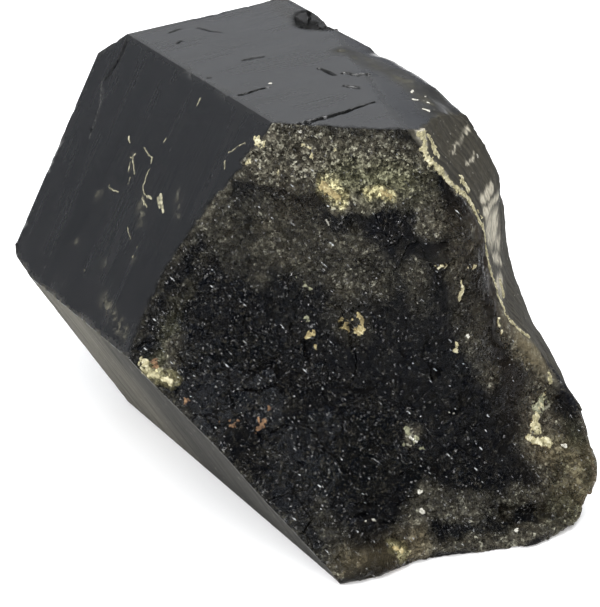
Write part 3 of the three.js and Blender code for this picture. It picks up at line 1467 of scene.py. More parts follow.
    def step_grown_faces(self, lay: Layout) -> None:
        """Cuts ledges and cracks into the grown faces, wears their edges and scales the chip.

        Args:
            lay: Where the corners are.
        """
        skin, noise, rest, normal = self.skin, self.noise, lay.rest, lay.normal
        jagged = noise.wander(rest, 0.9, 0.28)
        self.cracked = np.zeros(len(rest))
        for trail, depth in self.ledges:
            near = eased(trail.nearness(jagged), 0.0, 0.75)
            self.cracked = np.maximum(self.cracked, near)
            skin.rows[:, :3] -= normal * (depth * near)[:, None]
        inner = lay.grown & (rest[:, 2] > 1.0) & (lay.low == lay.high)
        swell = noise.fractal(rest * self.growth_stretch, 7.0, 3, Channel.SWELL) * 0.035
        skin.rows[inner, :3] += normal[inner] * swell[inner, None]
        raised = lay.grown & (rest[:, 2] > 0.5)
        crease = np.where(raised & (lay.low != lay.high))[0]
        near_by = np.where(raised)[0]
        who, away = nearest(tree_of(rest[crease]), rest[near_by])
        nick = np.maximum(0, noise.fractal(rest[crease], 2.2, 3, Channel.NICKS) - 0.16) * 0.5 + 0.02
        depth = nick[who] * (1 - eased(away, 0, 0.5))
        skin.rows[near_by, :3] -= normal[crease[who]] * depth[:, None]
        self.worn = np.zeros(len(rest))
        self.worn[near_by] = 0.6 - 0.6 * eased(away, 0.05, 0.45)
        chip = lay.low == Part.CHIP.value
        scales = noise.chips(noise.wander(rest[chip], 2.5, 0.8), self.scale_size)
        skin.rows[chip, :3] += normal[chip] * scales.facet(*self.scale_relief)[:, None]

    def noted(self, lay: Layout) -> dict[str, Array]:
        """What the finish needs to know at each corner.

        Args:
            lay: Where the corners are.

        Returns:
            Marks from 0 to 1, by name.
        """
        noise, rest, strip, grown, broken = self.noise, lay.rest, lay.strip, lay.grown, lay.broken
        bent = noise.wander(rest, 3.0, 1.8)
        chip = lay.low == Part.CHIP.value
        margin = (1 - eased(lay.away, 0.0, 2.4)) * broken
        frost = self.frosting(rest) + 0.2 * margin
        scale = strongest(STRIP_SCALE, noise.wander(rest, 1.4, 0.9))
        stripes = noise.fractal(self.striped(rest), 1.3, 3, Channel.STRIPES)
        dust = strongest(FACE_DUST, noise.wander(rest, 1.2, 0.8))
        rim = (1 - eased(np.abs(lay.behind), 0.0, 0.9)) * grown
        drawn = noise.wander(rest, 4.0, 0.8) * self.fibre_stretch
        fibres = noise.fractal(drawn, 0.9, 3, Channel.FIBRES)
        rubbed = strongest(RUBBED, noise.wander(rest, 3.0, 1.2)) * grown * np.clip(0.7 + fibres, 0, 1)
        facing = self.skin.normals()
        # Beside the ridge, where the break is seen edge-on, it takes a dark dull coat: painted shade over
        # its grazing reflection.
        over = eased(self.past_ridge(rest), -5.0, -1.6) * eased(60 - rest[:, 2], 0, 6) * broken
        x, z = self.lower_side
        # Faces turned down to the side: their dark dull coat and lost shine are painted shade, for the
        # shadowed paper that they face.
        under = eased(np.abs(facing[:, 0]) * x + facing[:, 2] * z, 0.8, 0.95) * grown
        # Faces turned down grow paler towards their far end: painted light.
        far = eased(rest[:, 1] + noise.fractal(rest, 9.0, 3, Channel.SIDE_LIGHT) * 5, -20, 4)
        painted_side_light = under * (1 - strip) * 0.18 * far
        smear = noise.fractal(rest * self.smear_stretch, 3.0, 3, Channel.SMEAR)
        # Dulled to dark low-shine glass: real etching on the strip and the rubbed top, painted shade on
        # faces turned down, in the cracks and in the chip's hollow.
        etched = (under, strip * 0.95, self.cracked * 0.8, chip * 0.7, rubbed * 0.6)
        return {
            "granular": np.maximum(broken * (1 - strip), chip * 0.12),
            "strip": strip,
            "frost": np.clip(frost, 0, 1) * (broken | chip),
            # Pale scale on the strip, with the painted light on faces turned down added.
            "pale": np.clip(scale * strip * (1.25 + 1.5 * stripes), 0, 1) + painted_side_light,
            "dust": np.maximum.reduce([dust * 0.5, rim * 0.35, rubbed * np.clip(fibres, 0, 0.12)]),
            "smear": np.clip(0.35 + 0.5 * smear + self.worn, 0, 1),
            "etched": np.maximum.reduce(etched),
            # Dark coat: painted shade on faces turned down and beside the ridge, real silt on the strip and
            # the rubbed top.
            "silt": np.maximum.reduce([under, strip, over, rubbed * 0.6]),
            "amber": strongest(AMBER, bent),
            "yellow": strongest(YELLOW, noise.wander(rest, 1.6, 1.0)),
            "green": strongest(GREEN, bent) * 0.8,
            "brown": strongest(BROWN, bent),
        }

    def striped(self, points: Array) -> Array:
        """The places drawn out along the strip's slanting streaks.

        Args:
            points: The places.

        Returns:
            Places in which soft noise turns into streaks.
        """
        along = points @ np.array(self.streak_way) * self.streak_stretch
        across = points @ np.array(self.streak_across)
        return np.stack([along, across, np.zeros(len(points))], 1)

    def shade(self, piece: bpy.types.Object) -> None:
        """Shades grown faces and the strip smooth, and the crumbling break flat.

        Args:
            piece: The body's object.
        """
        strip = self.marks["strip"][self.skin.faces].mean(1)
        flat = (self.skin.labels < 0) & (strip < 0.5)
        piece.data.polygons.foreach_set("use_smooth", ~flat)
        piece.data.set_sharp_from_angle(angle=math.radians(self.sharp))


# Hollows of the break, each with its depth in mm: a dark pocket low on the right, a crack
# beside it, and thin ledges across the toe.
BREAK_HOLLOWS = (
    (Trail(((9.6, -62.2, 4.9), (12.4, -62.9, 4.7), (15.2, -63.5, 3.9)), 2.3), 2.0),
    (Trail(((17.2, -61.4, 7.7), (18.8, -62.1, 7.6), (20.9, -62.9, 8)), 0.7), 0.7),
    (
        Trail(
            ((-16.5, -52.8, 12.5), (-12.4, -53.6, 12.1), (-8.5, -54.6, 10.7), (-4.5, -55.3, 10.2)),
            0.7,
        ),
        0.6,
    ),
    (Trail(((-18.2, -53.3, 11.3), (-13.6, -54.4, 10.9), (-8.7, -55.4, 9.2), (-4, -56, 8.9)), 0.7), 0.6),
    (Trail(((-18, -54.4, 9.9), (-13.1, -55.4, 9.3), (-8.2, -56.2, 7.7)), 0.7), 0.6),
    (Trail(((-37, -24.8, 27.8), (-34.8, -27.5, 26.6)), 1.6), 1.0),
)

# The crest between the break and the strip, and its lower end.
RIDGE_PATH = (
    (1.9, -45.6, 71.3),
    (3.1, -45.1, 70.7),
    (2.2, -46.4, 68.4),
    (2.6, -46.8, 66.9),
    (4.3, -47.4, 65.1),
    (5.8, -47.8, 63.3),
    (7.2, -48, 61.4),
    (10, -47, 58.8),
    (11.4, -47.1, 56.6),
    (12.2, -47.5, 54.4),
    (13.8, -46.8, 51.7),
)
RIDGE_TAIL = (
    (13.8, -46.8, 51.7),
    (14.9, -45.9, 49.2),
    (15.2, -46.4, 46.1),
    (15, -47, 44),
    (16.2, -46.9, 40.5),
    (17.4, -47, 37.5),
    (17.6, -48.8, 35.4),
    (19.9, -48.4, 32.2),
    (23, -47.7, 29.2),
)

# Where the break is crushed to pale grains, each with how strongly.
FROST = (
    (Trail(RIDGE_PATH, 1.9), 0.62),
    (Trail(RIDGE_TAIL, 1.5), 0.42),
    (Trail(((-17.5, -30, 66.5), (-9.8, -37.1, 66), (-2, -45, 64.5)), 9.0), 0.9),
    (Trail(((-9.5, -39, 60.5), (-3, -44.5, 61.5)), 4.5), 1.0),
    (Trail(((-22, -27, 54), (-14.7, -35.1, 52.7), (-9, -41.4, 48.2)), 13.0), 0.45),
    (Trail(((-26, -25.5, 51), (-21, -30, 46.5)), 6.5), 0.4),
    (Trail(((-24, -25, 53), (-28.8, -22.9, 44.3), (-33.3, -21.8, 38)), 4.0), 0.34),
    (Trail(((-36, -24.4, 31), (-33.3, -24.5, 33.5)), 4.6), 0.5),
    (Trail(((-27.8, -39.4, 21.1), (-23.5, -46, 14)), 4.0), 0.2),
    (Trail(((-20.7, -57, 3.5), (-21.8, -51.3, 11.6)), 5.0), 0.36),
    (
        Trail(
            ((-10.3, -57.8, 4.2), (-3, -56, 9.5), (5.3, -59.5, 7), (13, -62, 7), (21.5, -64, 5.5)),
            6.0,
        ),
        0.46,
    ),
    (
        Trail(
            ((-8, -58.5, 2), (1, -60.5, 2.5), (8, -62.8, 1.5), (16, -64.5, 1.5), (23, -64.8, 2.5)),
            3.6,
        ),
        0.56,
    ),
    (Trail(((-1, -47.5, 50), (0, -49, 42)), 5.0), 0.4),
    (Trail(((-3.6, -51.2, 19.7),), 3.6), 0.55),
    (Trail(((-12, -39.8, 41), (-8.5, -43, 38.5)), 6.0), 0.34),
    (Trail(((2, -47.5, 60), (2, -48.5, 56)), 5.0), 0.6),
    (Trail(((6.5, -49, 55), (6, -51, 46), (8, -52.5, 36), (10.6, -53.7, 27.8)), 6.0), 0.44),
    (Trail(((17, -50.5, 34), (22, -50, 26)), 6.0), 0.8),
    (Trail(((22, -52, 22), (19, -57.1, 14.5), (20.8, -61.9, 8.7)), 8.0), 0.56),
)

# Where the break stays clear and dark, each with how strongly. The last, in the pocket low on the right, is
# painted shade in that hollow.
POOLS = (
    (Trail(((-13.5, -57.9, 3.9),), 3.0), 0.5),
    (Trail(((-21.5, -34.5, 37.5), (-23, -37, 28)), 8.0), 0.8),
    (Trail(((3, -48.5, 53), (-1, -46.5, 54.5)), 4.2), 0.2),
    (Trail(((-17, -44.5, 22), (-10, -49, 20)), 5.5), 0.75),
    # Painted shade in the pocket low on the right.
    (Trail(((12.8, -62.9, 4.5),), 3.4), 0.9),
)

# Where the break is stained: yellow, green, brown, and a warm grey.
YELLOW = (
    Trail(((-10.6, -37.5, 62.2), (-9.4, -39, 60.2)), 3.4),
    Trail(((-6, -42.2, 61.2), (-4, -43.8, 61.8), (-3.1, -44.7, 61.2)), 2.0),
    Trail(((-37.6, -23.2, 30.1), (-35.3, -26.6, 28.6)), 2.6),
    Trail(((-11.6, -57.7, 4.6), (-10.2, -58.3, 2.8)), 2.6),
)
GREEN = (
    Trail(((-8, -40.1, 64.1), (-1.1, -45.8, 63.4)), 6.0),
    Trail(((21.4, -64.1, 5.3), (24, -60, 12)), 8.0),
    Trail(((-31, -25, 44), (-37, -23.5, 32)), 4.0, 3.0),
)
BROWN = (
    Trail(((7, -48.5, 56), (14, -52, 34), (19, -54.5, 18), (20, -61, 8)), 9.0),
    Trail(((-16, -35, 60),), 7.0),
    Trail(((-10.5, -58.3, 3),), 6.0),
)
AMBER = (
    Trail(((-20, -57.2, 4), (-13.5, -58.1, 3.5), (-7.5, -58.2, 3.1)), 5.0),
    Trail(((19.5, -58.5, 13.5), (24, -60.5, 11), (22, -63, 6.5)), 4.2),
    Trail(((20, -50.5, 30), (23.5, -50, 24)), 4.5),
)

# Where the top face is rubbed dull beside the chip and the strip.
RUBBED = (
    Trail(((10.6, -9, 72), (12.5, -19, 71.3), (13.5, -28.3, 70.7), (10.5, -39, 69.6)), 2.4, 4.4),
    Trail(((16, -30, 69.7), (16, -35.4, 67.7)), 4.0),
)

# Where pale scale clings to the strip on the right of the ridge.
STRIP_SCALE = (
    Trail(RIDGE_PATH, 1.2, 0.9),
    Trail(RIDGE_TAIL, 1.5, 0.9),
    Trail(((19.4, -34.7, 64.5), (14.3, -39, 64.6), (9.5, -43.1, 64.8)), 0.62, 0.4),
    Trail(((18.3, -38, 61), (13.2, -42.3, 61.3)), 0.62, 0.4),
    Trail(((22, -37.9, 53.7), (16.1, -43.2, 54.8)), 1.3),
    Trail(((26, -34.2, 50), (16, -43.6, 52.6)), 1.3),
    Trail(((17, -43, 50.5), (27.5, -32.8, 44.5)), 3.4),
    Trail(((18.5, -42, 47), (28.5, -32, 40.5)), 3.2),
    Trail(((20, -41, 42.5), (27.5, -34, 37)), 1.5),
    Trail(((18.6, -44.9, 38.4), (24.5, -38.5, 36)), 2.4),
)

# Where pale dust sits on the left face and low on the left side.
FACE_DUST = (
    Trail(((-29.6, 7.5, 48.7),), 2.0),
    Trail(((-34.4, 8.3, 40.4),), 1.8),
    Trail(((-27.6, -5, 51.8), (-29.2, -7.3, 49)), 2.2),
    Trail(((-34.4, -2.2, 40.4),), 1.4),
    Trail(((-32.3, -9.3, 44.1),), 1.4),
    Trail(((-25.2, 3.2, 56.4), (-26.4, 0.8, 54.2)), 1.3),
    Trail(((-25.6, -14, 55.6), (-27, -16.4, 53.2)), 1.6),
    Trail(((-37, -6, 36), (-38, -16, 34)), 2.4),
)

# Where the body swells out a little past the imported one, each with its height in mm.
SWELLS = (
    (Trail(((16, 17.6, 71.5), (15.4, 10.4, 71.9)), 5.0), 0.8),
    (Trail(((15.9, -15.5, 70.8), (15.5, -25.8, 70.1)), 6.0), 0.7),
    (Trail(((33, -26.5, 42), (36, -23, 36)), 7.5), 0.7),
    (Trail(((34, -38.5, 21.5), (31, -45, 20)), 5.0), 0.7),
    (Trail(((-19.3, -57.9, 1.6), (-9.9, -58.7, 1.5)), 4.5), 0.8),
    (Trail(((11.9, -64.3, 0.1), (20, -64, 1), (25, -61, 2)), 4.5), 0.6),
)

# Creases that are rounded off, from the top face over the shoulder and down the strip's far side.
SHOULDERS = (
    Trail(((7, -20, 72), (7, -38, 71)), 4.0),
    Trail(((15.5, -12, 71), (15, -28, 70), (16, -35, 66), (20, -35, 59)), 3.6),
    Trail(((20, -35, 59), (27, -31.5, 48), (33, -26.5, 40), (37, -26, 30)), 3.4),
)

# Ledges and cracks of the grown faces, each with its depth in mm.
LEDGES = (
    (
        Trail(
            (
                (-16.8, 19, 70.8),
                (-18.5, 18.9, 68),
                (-20, 19.7, 65.3),
                (-21.1, 21, 63.5),
                (-22.4, 19.1, 61.3),
                (-23.3, 18.5, 59.7),
                (-25.9, 17.6, 55.1),
            ),
            0.4,
            0.22,
        ),
        0.2,
    ),
    (
        Trail(
            ((-12.6, -33.2, 72), (-9.1, -32.9, 72), (-5.4, -32.9, 72), (-1.4, -32.4, 72), (2.2, -31.9, 72)),
            0.95,
            0.2,
        ),
        0.5,
    ),
    (Trail(((-14.4, -16.7, 72), (-11.4, -16.3, 72), (-8.7, -16.5, 72)), 0.4, 0.3), 0.35),
    (Trail(((-9.8, 16, 72), (-7.3, 16.5, 72)), 0.32), 0.14),
    (Trail(((-11.1, 10.6, 72), (-9.9, 11.3, 72)), 0.4, 0.25), 0.2),
    (Trail(((-4.5, 15.1, 72), (-3.4, 12.5, 72), (-2.1, 10.7, 72)), 0.24), 0.14),
    (Trail(((-6, -3.1, 72), (-3.9, -3.3, 72), (-2.1, -3.7, 72)), 0.3), 0.16),
    (Trail(((2.9, -13.8, 72), (3.4, -18, 72)), 0.5), 0.45),
    (Trail(((5.2, -18.1, 72), (6.3, -20.1, 72), (8.3, -20.7, 71.9)), 0.6), 0.5),
    (Trail(((2.1, -23.2, 72), (3.4, -25.2, 72)), 0.6), 0.5),
    (Trail(((10.4, -8.9, 72),), 0.7), 0.3),
    (Trail(((-14.8, -7, 72),), 0.5), 0.2),
)


# ---- Films and crusts --------------------------------------------------------------------


@dataclass
class MineralFilm:
    """A thin mineral deposit that follows the crystal's surface, closed underneath.

    Attributes:
        name: The piece's name.
        finish: What it is made of.
        trails: Where it lies.
        lift: How far it stands proud.
        ragged: How ragged its outline is.
        lumps: How lumpy its top is.
        step: The edge length of its mesh.
        sink: How far its underside is under the surface.
        coarse_step: The edge length away from it, before it is cut out.
        patch_reach: The nearness from which the body's faces are taken.
        fine_reach: The nearness from which the edges are short.
        most_halvings: The most times that edges are halved.
        lump_size: How wide its lumps are.
        crumb_size: How wide its crumbs are.
        outline_size: How wide the notches of its outline are.
        fullness: The share of its lift that it has between lumps.
        least_lump: The least share of its lift.
        proud: How far even its thinnest part stands proud.
        edge_sink: How far its outline dips under the surface.
        sharp: The angle from which its edges are sharp, in degrees.
    """

    name: str
    finish: Finish
    trails: tuple[Trail, ...]
    lift: float
    ragged: float = 0.5
    lumps: float = 0.8
    step: float = 0.12
    sink: float = 0.16
    coarse_step: float = 0.6
    patch_reach: float = -1.0
    fine_reach: float = -0.6
    most_halvings: int = 14
    lump_size: float = 0.6
    crumb_size: float = 0.45
    outline_size: float = 0.55
    fullness: float = 0.55
    least_lump: float = 0.15
    proud: float = 0.015
    edge_sink: float = 0.05
    sharp: float = 40.0

    def build(self, body: CrystalBody) -> bpy.types.Object:
        """Grows the deposit on the body's surface.

        Args:
            body: The carved crystal.

        Returns:
            The piece, one closed shell for each patch.
        """
        source = body.skin
        rows = np.concatenate([source.points, source.normals()], 1)
        whole = Skin(rows, source.faces, source.labels)
        near = nearest_trail(self.trails, source.points)
        patch = whole.kept((near > self.patch_reach)[source.faces].any(1))
        fine = patch.refined(lambda skin, middle, back: self.wanted(middle), self.most_halvings)
        film = fine.kept((self.cover(fine.points) > 0)[fine.faces].any(1))
        cover = self.cover(film.points)
        normal = unit(film.rows[:, 3:6])
        noise = Noise(SEED + len(self.name))
        swell = noise.fractal(film.points, self.lump_size, 3, Channel.LUMPS)
        crumb = noise.chips(film.points, self.crumb_size)
        lump = self.fullness + self.lumps * 0.6 * swell
        lump += self.lumps * 0.35 * (1 - crumb.near / 0.35)
        height = self.lift * np.sqrt(eased(cover, 0, 0.5)) * np.maximum(lump, self.least_lump)
        height = np.where(cover > 0, height + self.proud, -self.edge_sink)
        top = film.points + normal * height[:, None]
        under = film.points - normal * self.sink
        piece = self.closed(film, top, under)
        LOG.info("%s: %d faces", self.name, len(piece.data.polygons))
        return piece

    def wanted(self, middle: Array) -> Array:
        """Fine edges where the deposit is, and coarse ones away from it."""
        near = nearest_trail(self.trails, middle[:, :3])
        return np.where(near > self.fine_reach, self.step, self.coarse_step)

    def cover(self, points: Array) -> Array:
        """How far inside the deposit's ragged outline points are.

        Args:
            points: The places.

        Returns:
            Above 0 inside it, and below 0 outside.
        """
        noise = Noise(SEED + 7)
        near = nearest_trail(self.trails, noise.wander(points, 0.8, 0.22))
        return near + self.ragged * (noise.fractal(points, self.outline_size, 3, Channel.OUTLINE) - 0.1)

    def closed(self, film: Skin, top: Array, under: Array) -> bpy.types.Object:
        """A shell with the film's top, its underside and a wall between them.

        Args:
            film: The patch of surface that it lies on.
            top: The film's corners on top.
            under: The same corners underneath.

        Returns:
            The piece, which rides on the crystal.
        """
        count = len(top)
        _, back = film.sides()
        lone = np.bincount(back.ravel())[back] == 1
        walls = []
        for k in range(3):
            a, b = film.faces[lone[:, k], k], film.faces[lone[:, k], (k + 1) % 3]
            walls.append(np.stack([b, a, a + count], 1))
            walls.append(np.stack([b, a + count, b + count], 1))
        faces = np.concatenate([film.faces, film.faces[:, ::-1] + count, *walls])
        piece = mesh_object(self.name, np.concatenate([top, under]), faces, self.finish)
        piece.data.polygons.foreach_set("use_smooth", np.ones(len(faces), bool))
        piece.data.set_sharp_from_angle(angle=math.radians(self.sharp))
        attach(piece, BODY)
        return piece


FILMS = (
    MineralFilm(
        "ridge_crust",
        CREAM,
        (
            Trail(RIDGE_PATH, 0.62, 0.75),
            Trail(RIDGE_TAIL, 0.56, 0.3),
            Trail(((5, -45.3, 67.5),), 0.9),
            Trail(((10.8, -45.2, 60.9), (11.9, -45, 58.9)), 0.75),
            Trail(((22.4, -40.5, 36.7), (22, -41.5, 35.8), (20.9, -43.3, 35.7)), 0.9, 0.6),
            Trail(((14.2, -51.2, 36.6), (14.1, -51.5, 35.3)), 0.28),
            Trail(((14.8, -51.5, 34),), 0.45),
            Trail(((3.6, -44.4, 70.6), (5.2, -44.6, 68.8), (5.4, -45.2, 66.6)), 0.55, 0.7),
            Trail(((13, -45.6, 54.6), (14.4, -44.8, 52.6)), 0.4),
        ),
        0.3,
        ragged=1.1,
        lumps=1.2,
    ),
    MineralFilm(
        "face_veins",
        VEIN,
        (
            Trail(
                (
                    (-23.7, 1.4, 58.9),
                    (-24.1, -0.9, 58.3),
                    (-24.2, -2.7, 58.1),
                    (-25, -3.4, 56.6),
                    (-25.9, -3.3, 55.1),
                    (-26.9, -3.7, 53.5),
                    (-27.2, -4.8, 52.8),
                    (-27.2, -7.3, 52.9),
                ),
                0.16,
                0.15,
            ),
            Trail(((-27.2, -6, 52.8), (-27.2, -7.3, 52.9)), 0.34, 0.26),
            Trail(((-26.5, -9.4, 54.1), (-27, -10.5, 53.2), (-27.5, -12.1, 52.3)), 0.5, 0.26),
            Trail(((-26.8, -9, 53.5), (-27.4, -10.6, 52.5)), 0.26),
            Trail(((-23.8, 6.4, 58.7), (-24.4, 4.8, 57.7)), 0.2, 0.13),
            Trail(((-25.3, 9.3, 56.2), (-25.3, 6.5, 56.3), (-25.2, 3, 56.3), (-24.2, 1.7, 58.2)), 0.13),
            Trail(((-25.2, 2.6, 56.4), (-25.7, 1.4, 55.4), (-26.3, 0.2, 54.5)), 0.15),
            Trail(((-25.6, 2.9, 55.7), (-26.4, 2.2, 54.3)), 0.12),
            Trail(((-27.2, 0.9, 53), (-26.8, 1, 53.7)), 0.12),
            Trail(((-21.5, -23, 62.8), (-21, -22.3, 63.6), (-20.4, -22.1, 64.7)), 0.13),
            Trail(((-27.8, -5.6, 51.9), (-28.3, -6.6, 51)), 0.2, 0.12),
            Trail(((-27.8, 6.6, 51.8), (-28.6, 5.8, 50.5), (-28.5, 4.4, 50.6), (-28.4, 2.6, 50.8)), 0.12),
            Trail(((-30.5, -4.1, 47.2), (-31, -5.8, 46.3), (-31.3, -7.4, 45.8)), 0.11, 0.07),
            Trail(((-29.8, -8.7, 48.4), (-30.6, -7.5, 47)), 0.12),
            Trail(((-16.8, -8.8, 70.9), (-17.5, -8.7, 69.7), (-18.3, -8.6, 68.3)), 0.10, 0.13),
            Trail(((-21.9, -4.2, 62.1), (-22.5, -4, 61)), 0.16, 0.10),
            Trail(
                ((-18.6, -25.8, 67.9), (-19.5, -23.6, 66.2), (-20.3, -22.1, 64.9), (-21.1, -22.3, 63.4)),
                0.14,
                0.11,
            ),
            Trail(((-27.7, -4.8, 52.1), (-28, -7.2, 51.4)), 0.14),
            Trail(((-32.3, -9.3, 44.1),), 0.25),
            Trail(((-31.4, -9.2, 45.6),), 0.18),
            Trail(((-27.2, 0.8, 52.8),), 0.16),
            Trail(((-21.4, 24.3, 62.9),), 0.16),
            Trail(((-35.9, 2.6, 37.8),), 0.16),
            Trail(((-31, 21.6, 46.3),), 0.14),
        ),
        0.04,
        ragged=0.3,
        lumps=0.8,
        step=0.08,
        sink=0.1,
    ),
    MineralFilm(
        "left_corner_cream",
        CREAM,
        (
            Trail(((-37.9, -22, 30.9), (-37.8, -22.8, 30.1), (-37.4, -23.8, 29.5)), 0.85, 0.6),
            Trail(((-37.4, -23.8, 29.5), (-36, -25.5, 29.1), (-35.3, -26.6, 28.6)), 0.45, 0.6),
            Trail(((-36.9, -23.3, 31.6),), 0.5),
            Trail(((-35.2, -24.9, 31.4),), 0.35),
        ),
        0.26,
        ragged=1.2,
    ),
    MineralFilm(
        "cream_flakes",
        CREAM,
        (
            Trail(((6.3, -51.6, 45.9), (6.1, -51.7, 44.2), (5.8, -51.8, 43)), 0.3, 0.62),
            Trail(((4.7, -52.2, 35.1), (4.6, -52.3, 33.7)), 0.35, 0.5),
            Trail(((25.3, -50.8, 22.6), (25, -51.4, 21.7)), 0.7),
            Trail(((23.1, -52.8, 20.1), (22.2, -53.4, 19.3), (21.3, -54.1, 18.6)), 0.6),
            Trail(((20.3, -54.5, 18.2), (19.2, -55.3, 17), (18.9, -56, 16)), 0.6, 0.9),
            Trail(((16.7, -56.5, 15.4), (18.5, -57, 14.5), (20.3, -57.7, 14)), 0.6, 0.85),
            Trail(((-18.3, -27.6, 68.9), (-17.7, -28.9, 68.3)), 0.75),
            Trail(((-12.9, -33.9, 68.4), (-12.1, -35, 68.1), (-12.2, -35.2, 66.8)), 0.4),
            Trail(((-15.9, -31.7, 63.8),), 0.8),
            Trail(((-9.2, -37.6, 68.3),), 0.4),
            Trail(((-19.6, -27.7, 65),), 0.5),
            Trail(((2.2, -50, 49.5), (3.8, -50.7, 49)), 0.5, 0.4),
            Trail(((7.8, -51.4, 48.3), (9.3, -51.2, 48)), 0.5, 0.4),
        ),
        0.22,
        ragged=0.9,
    ),
    MineralFilm(
        "mustard_patches",
        MUSTARD,
        (
            Trail(((-10.6, -41.3, 39.3), (-10.2, -41.8, 37.6)), 0.55),
            Trail(((-10.1, -41.8, 38.7), (-9.5, -42.2, 39.3)), 0.4),
            Trail(
                ((-8.3, -43, 40.7), (-8, -43.5, 39.2), (-8.2, -43.5, 38.1), (-8.8, -43.1, 37.3)),
                0.5,
                0.7,
            ),
            Trail(((-14.9, -38.1, 36.7), (-15.5, -37.8, 35.6)), 0.7, 0.35),
            Trail(((-14.5, -39, 34.5),), 0.5),
            Trail(((-10.9, -37.3, 62), (-9.6, -38.9, 60.4)), 0.95, 0.7),
            Trail(((-4.2, -43.7, 61.7), (-3.1, -44.7, 61.2)), 0.6, 0.45),
            Trail(((-11.4, -57.8, 4.2), (-10.4, -58.2, 3.1)), 0.35, 0.5),
        ),
        0.2,
        ragged=1.3,
    ),
    MineralFilm(
        "rust_patches",
        RUST,
        (
            Trail(((-31.4, -36.1, 23.6), (-30.8, -36.8, 23.2), (-29.8, -37.1, 23.1)), 0.42),
            Trail(((-29.8, -37.1, 23.1), (-28.6, -36.9, 23.4), (-28.6, -36, 24.2)), 0.4, 0.26),
            Trail(((-30.6, -36.4, 23.6), (-29.6, -36.4, 24.2)), 0.26),
            Trail(((-26.4, -38.9, 21.9), (-25.4, -38.6, 22.5), (-24.4, -38.4, 23.1)), 0.34, 0.44),
            Trail(((-25.6, -38.4, 22.7), (-25.2, -37.8, 23.6)), 0.24),
            Trail(((-22.9, -37.5, 24.9),), 0.5),
            Trail(((-34.7, -30.3, 26.3),), 0.6),
            Trail(((-36.4, -23.4, 31.2),), 0.8),
        ),
        0.2,
        ragged=1.3,
    ),
    MineralFilm(
        "green_grey_patches",
        LICHEN,
        (
            Trail(((-15.6, -35.3, 46.4), (-14.9, -36.2, 45.5), (-14, -37.3, 44.4)), 0.5, 0.3),
            Trail(((22.6, -53.2, 19.7), (20.8, -54.4, 18.6)), 1.1),
            Trail(((-4.1, -50.4, 21.2), (-3.9, -50.8, 20.4)), 0.45, 0.6),
            Trail(((-2.7, -51.6, 19.6), (-3.4, -51.8, 18.7)), 0.36, 0.26),
            Trail(((-1.4, -52.5, 17.8), (-2.4, -52.4, 17.5)), 0.4, 0.26),
            Trail(((-5, -51.4, 18.6),), 0.35),
            Trail(((-14.9, -37.4, 39.2),), 0.5),
        ),
        0.2,
        ragged=1.2,
    ),
    # Pale flecks, partly real chalk and partly painted glints: the thinnest strokes on the break and the
    # two small ones by the chip stand in for light caught by facet edges.
    MineralFilm(
        "chalk_flecks",
        CHALK_AND_GLINTS,
        (
            Trail(((-3.7, -51.1, 19.6), (-3, -51.9, 18.8)), 0.22),
            Trail(((-2.6, -53.2, 15.9), (-3.4, -53, 15.6)), 0.4),
            Trail(((-4.2, -54.9, 11),), 0.5),
            Trail(((-4.7, -56.2, 8.1),), 0.5),
            Trail(((9.5, -63.4, 3.1),), 0.5),
            Trail(((-5.4, -57.1, 6), (-3.6, -57.5, 5.8)), 0.35),
            Trail(((2.5, -53.2, 23.3), (3.4, -53.6, 23.1)), 0.25),
            Trail(((-15.4, -55.4, 9.3), (-13.8, -55.6, 9.1)), 0.3),
            Trail(((22.7, -59, 13.1),), 0.45),
            Trail(((-13.2, -33.2, 70.8),), 0.4),
            Trail(((7, -52.5, 36),), 0.4),
            Trail(((-0.5, -48.9, 42.9),), 0.35),
            Trail(((11.3, -29.5, 70.8), (12.6, -28, 70.5), (12.4, -27.4, 70.6)), 0.23),
            Trail(((13.7, -27.5, 70.4), (15.2, -27.2, 70.1)), 0.23),
            Trail(((9.6, -32.3, 70.9), (10.4, -32.7, 70.7)), 0.23),
            Trail(((11.6, -33.9, 70.4),), 0.23),
            Trail(((9, -36.5, 70.6), (9.6, -37.3, 70.4)), 0.23),
            Trail(((12.9, -31.2, 70.4),), 0.23),
            Trail(((13.6, -22.6, 70.8), (14.2, -23.6, 70.7)), 0.23),
            Trail(((19.2, -37.6, 60.2),), 0.4),
            Trail(((-30.8, -31.3, 27.3), (-30.4, -32.6, 26.5)), 0.18),
            Trail(((-25.5, -28, 38.5), (-25.3, -28.6, 37.6)), 0.14),
            Trail(((-23, -29.6, 40.6), (-22.6, -30.1, 40)), 0.14),
            Trail(((-20, -32, 42.3), (-19, -33.1, 41.4)), 0.14),
            Trail(((-20.7, -35.6, 30.3), (-20.8, -36.3, 28.8)), 0.13),
            Trail(((-9.4, -39.8, 56.3), (-8.6, -40.8, 54.8)), 0.13),
            Trail(((-11.4, -37.7, 56.9), (-10.8, -38.6, 55)), 0.14),
            Trail(((-7.6, -15, 72),), 0.25),
            Trail(((11.2, 3.6, 71.4), (12, 3.2, 71.3)), 0.16),
            Trail(((13.6, 6.6, 71), (14.8, 6.4, 71)), 0.18),
        ),
        0.12,
        ragged=0.5,
        step=0.1,
    ),
)


# ---- The studio --------------------------------------------------------------------------


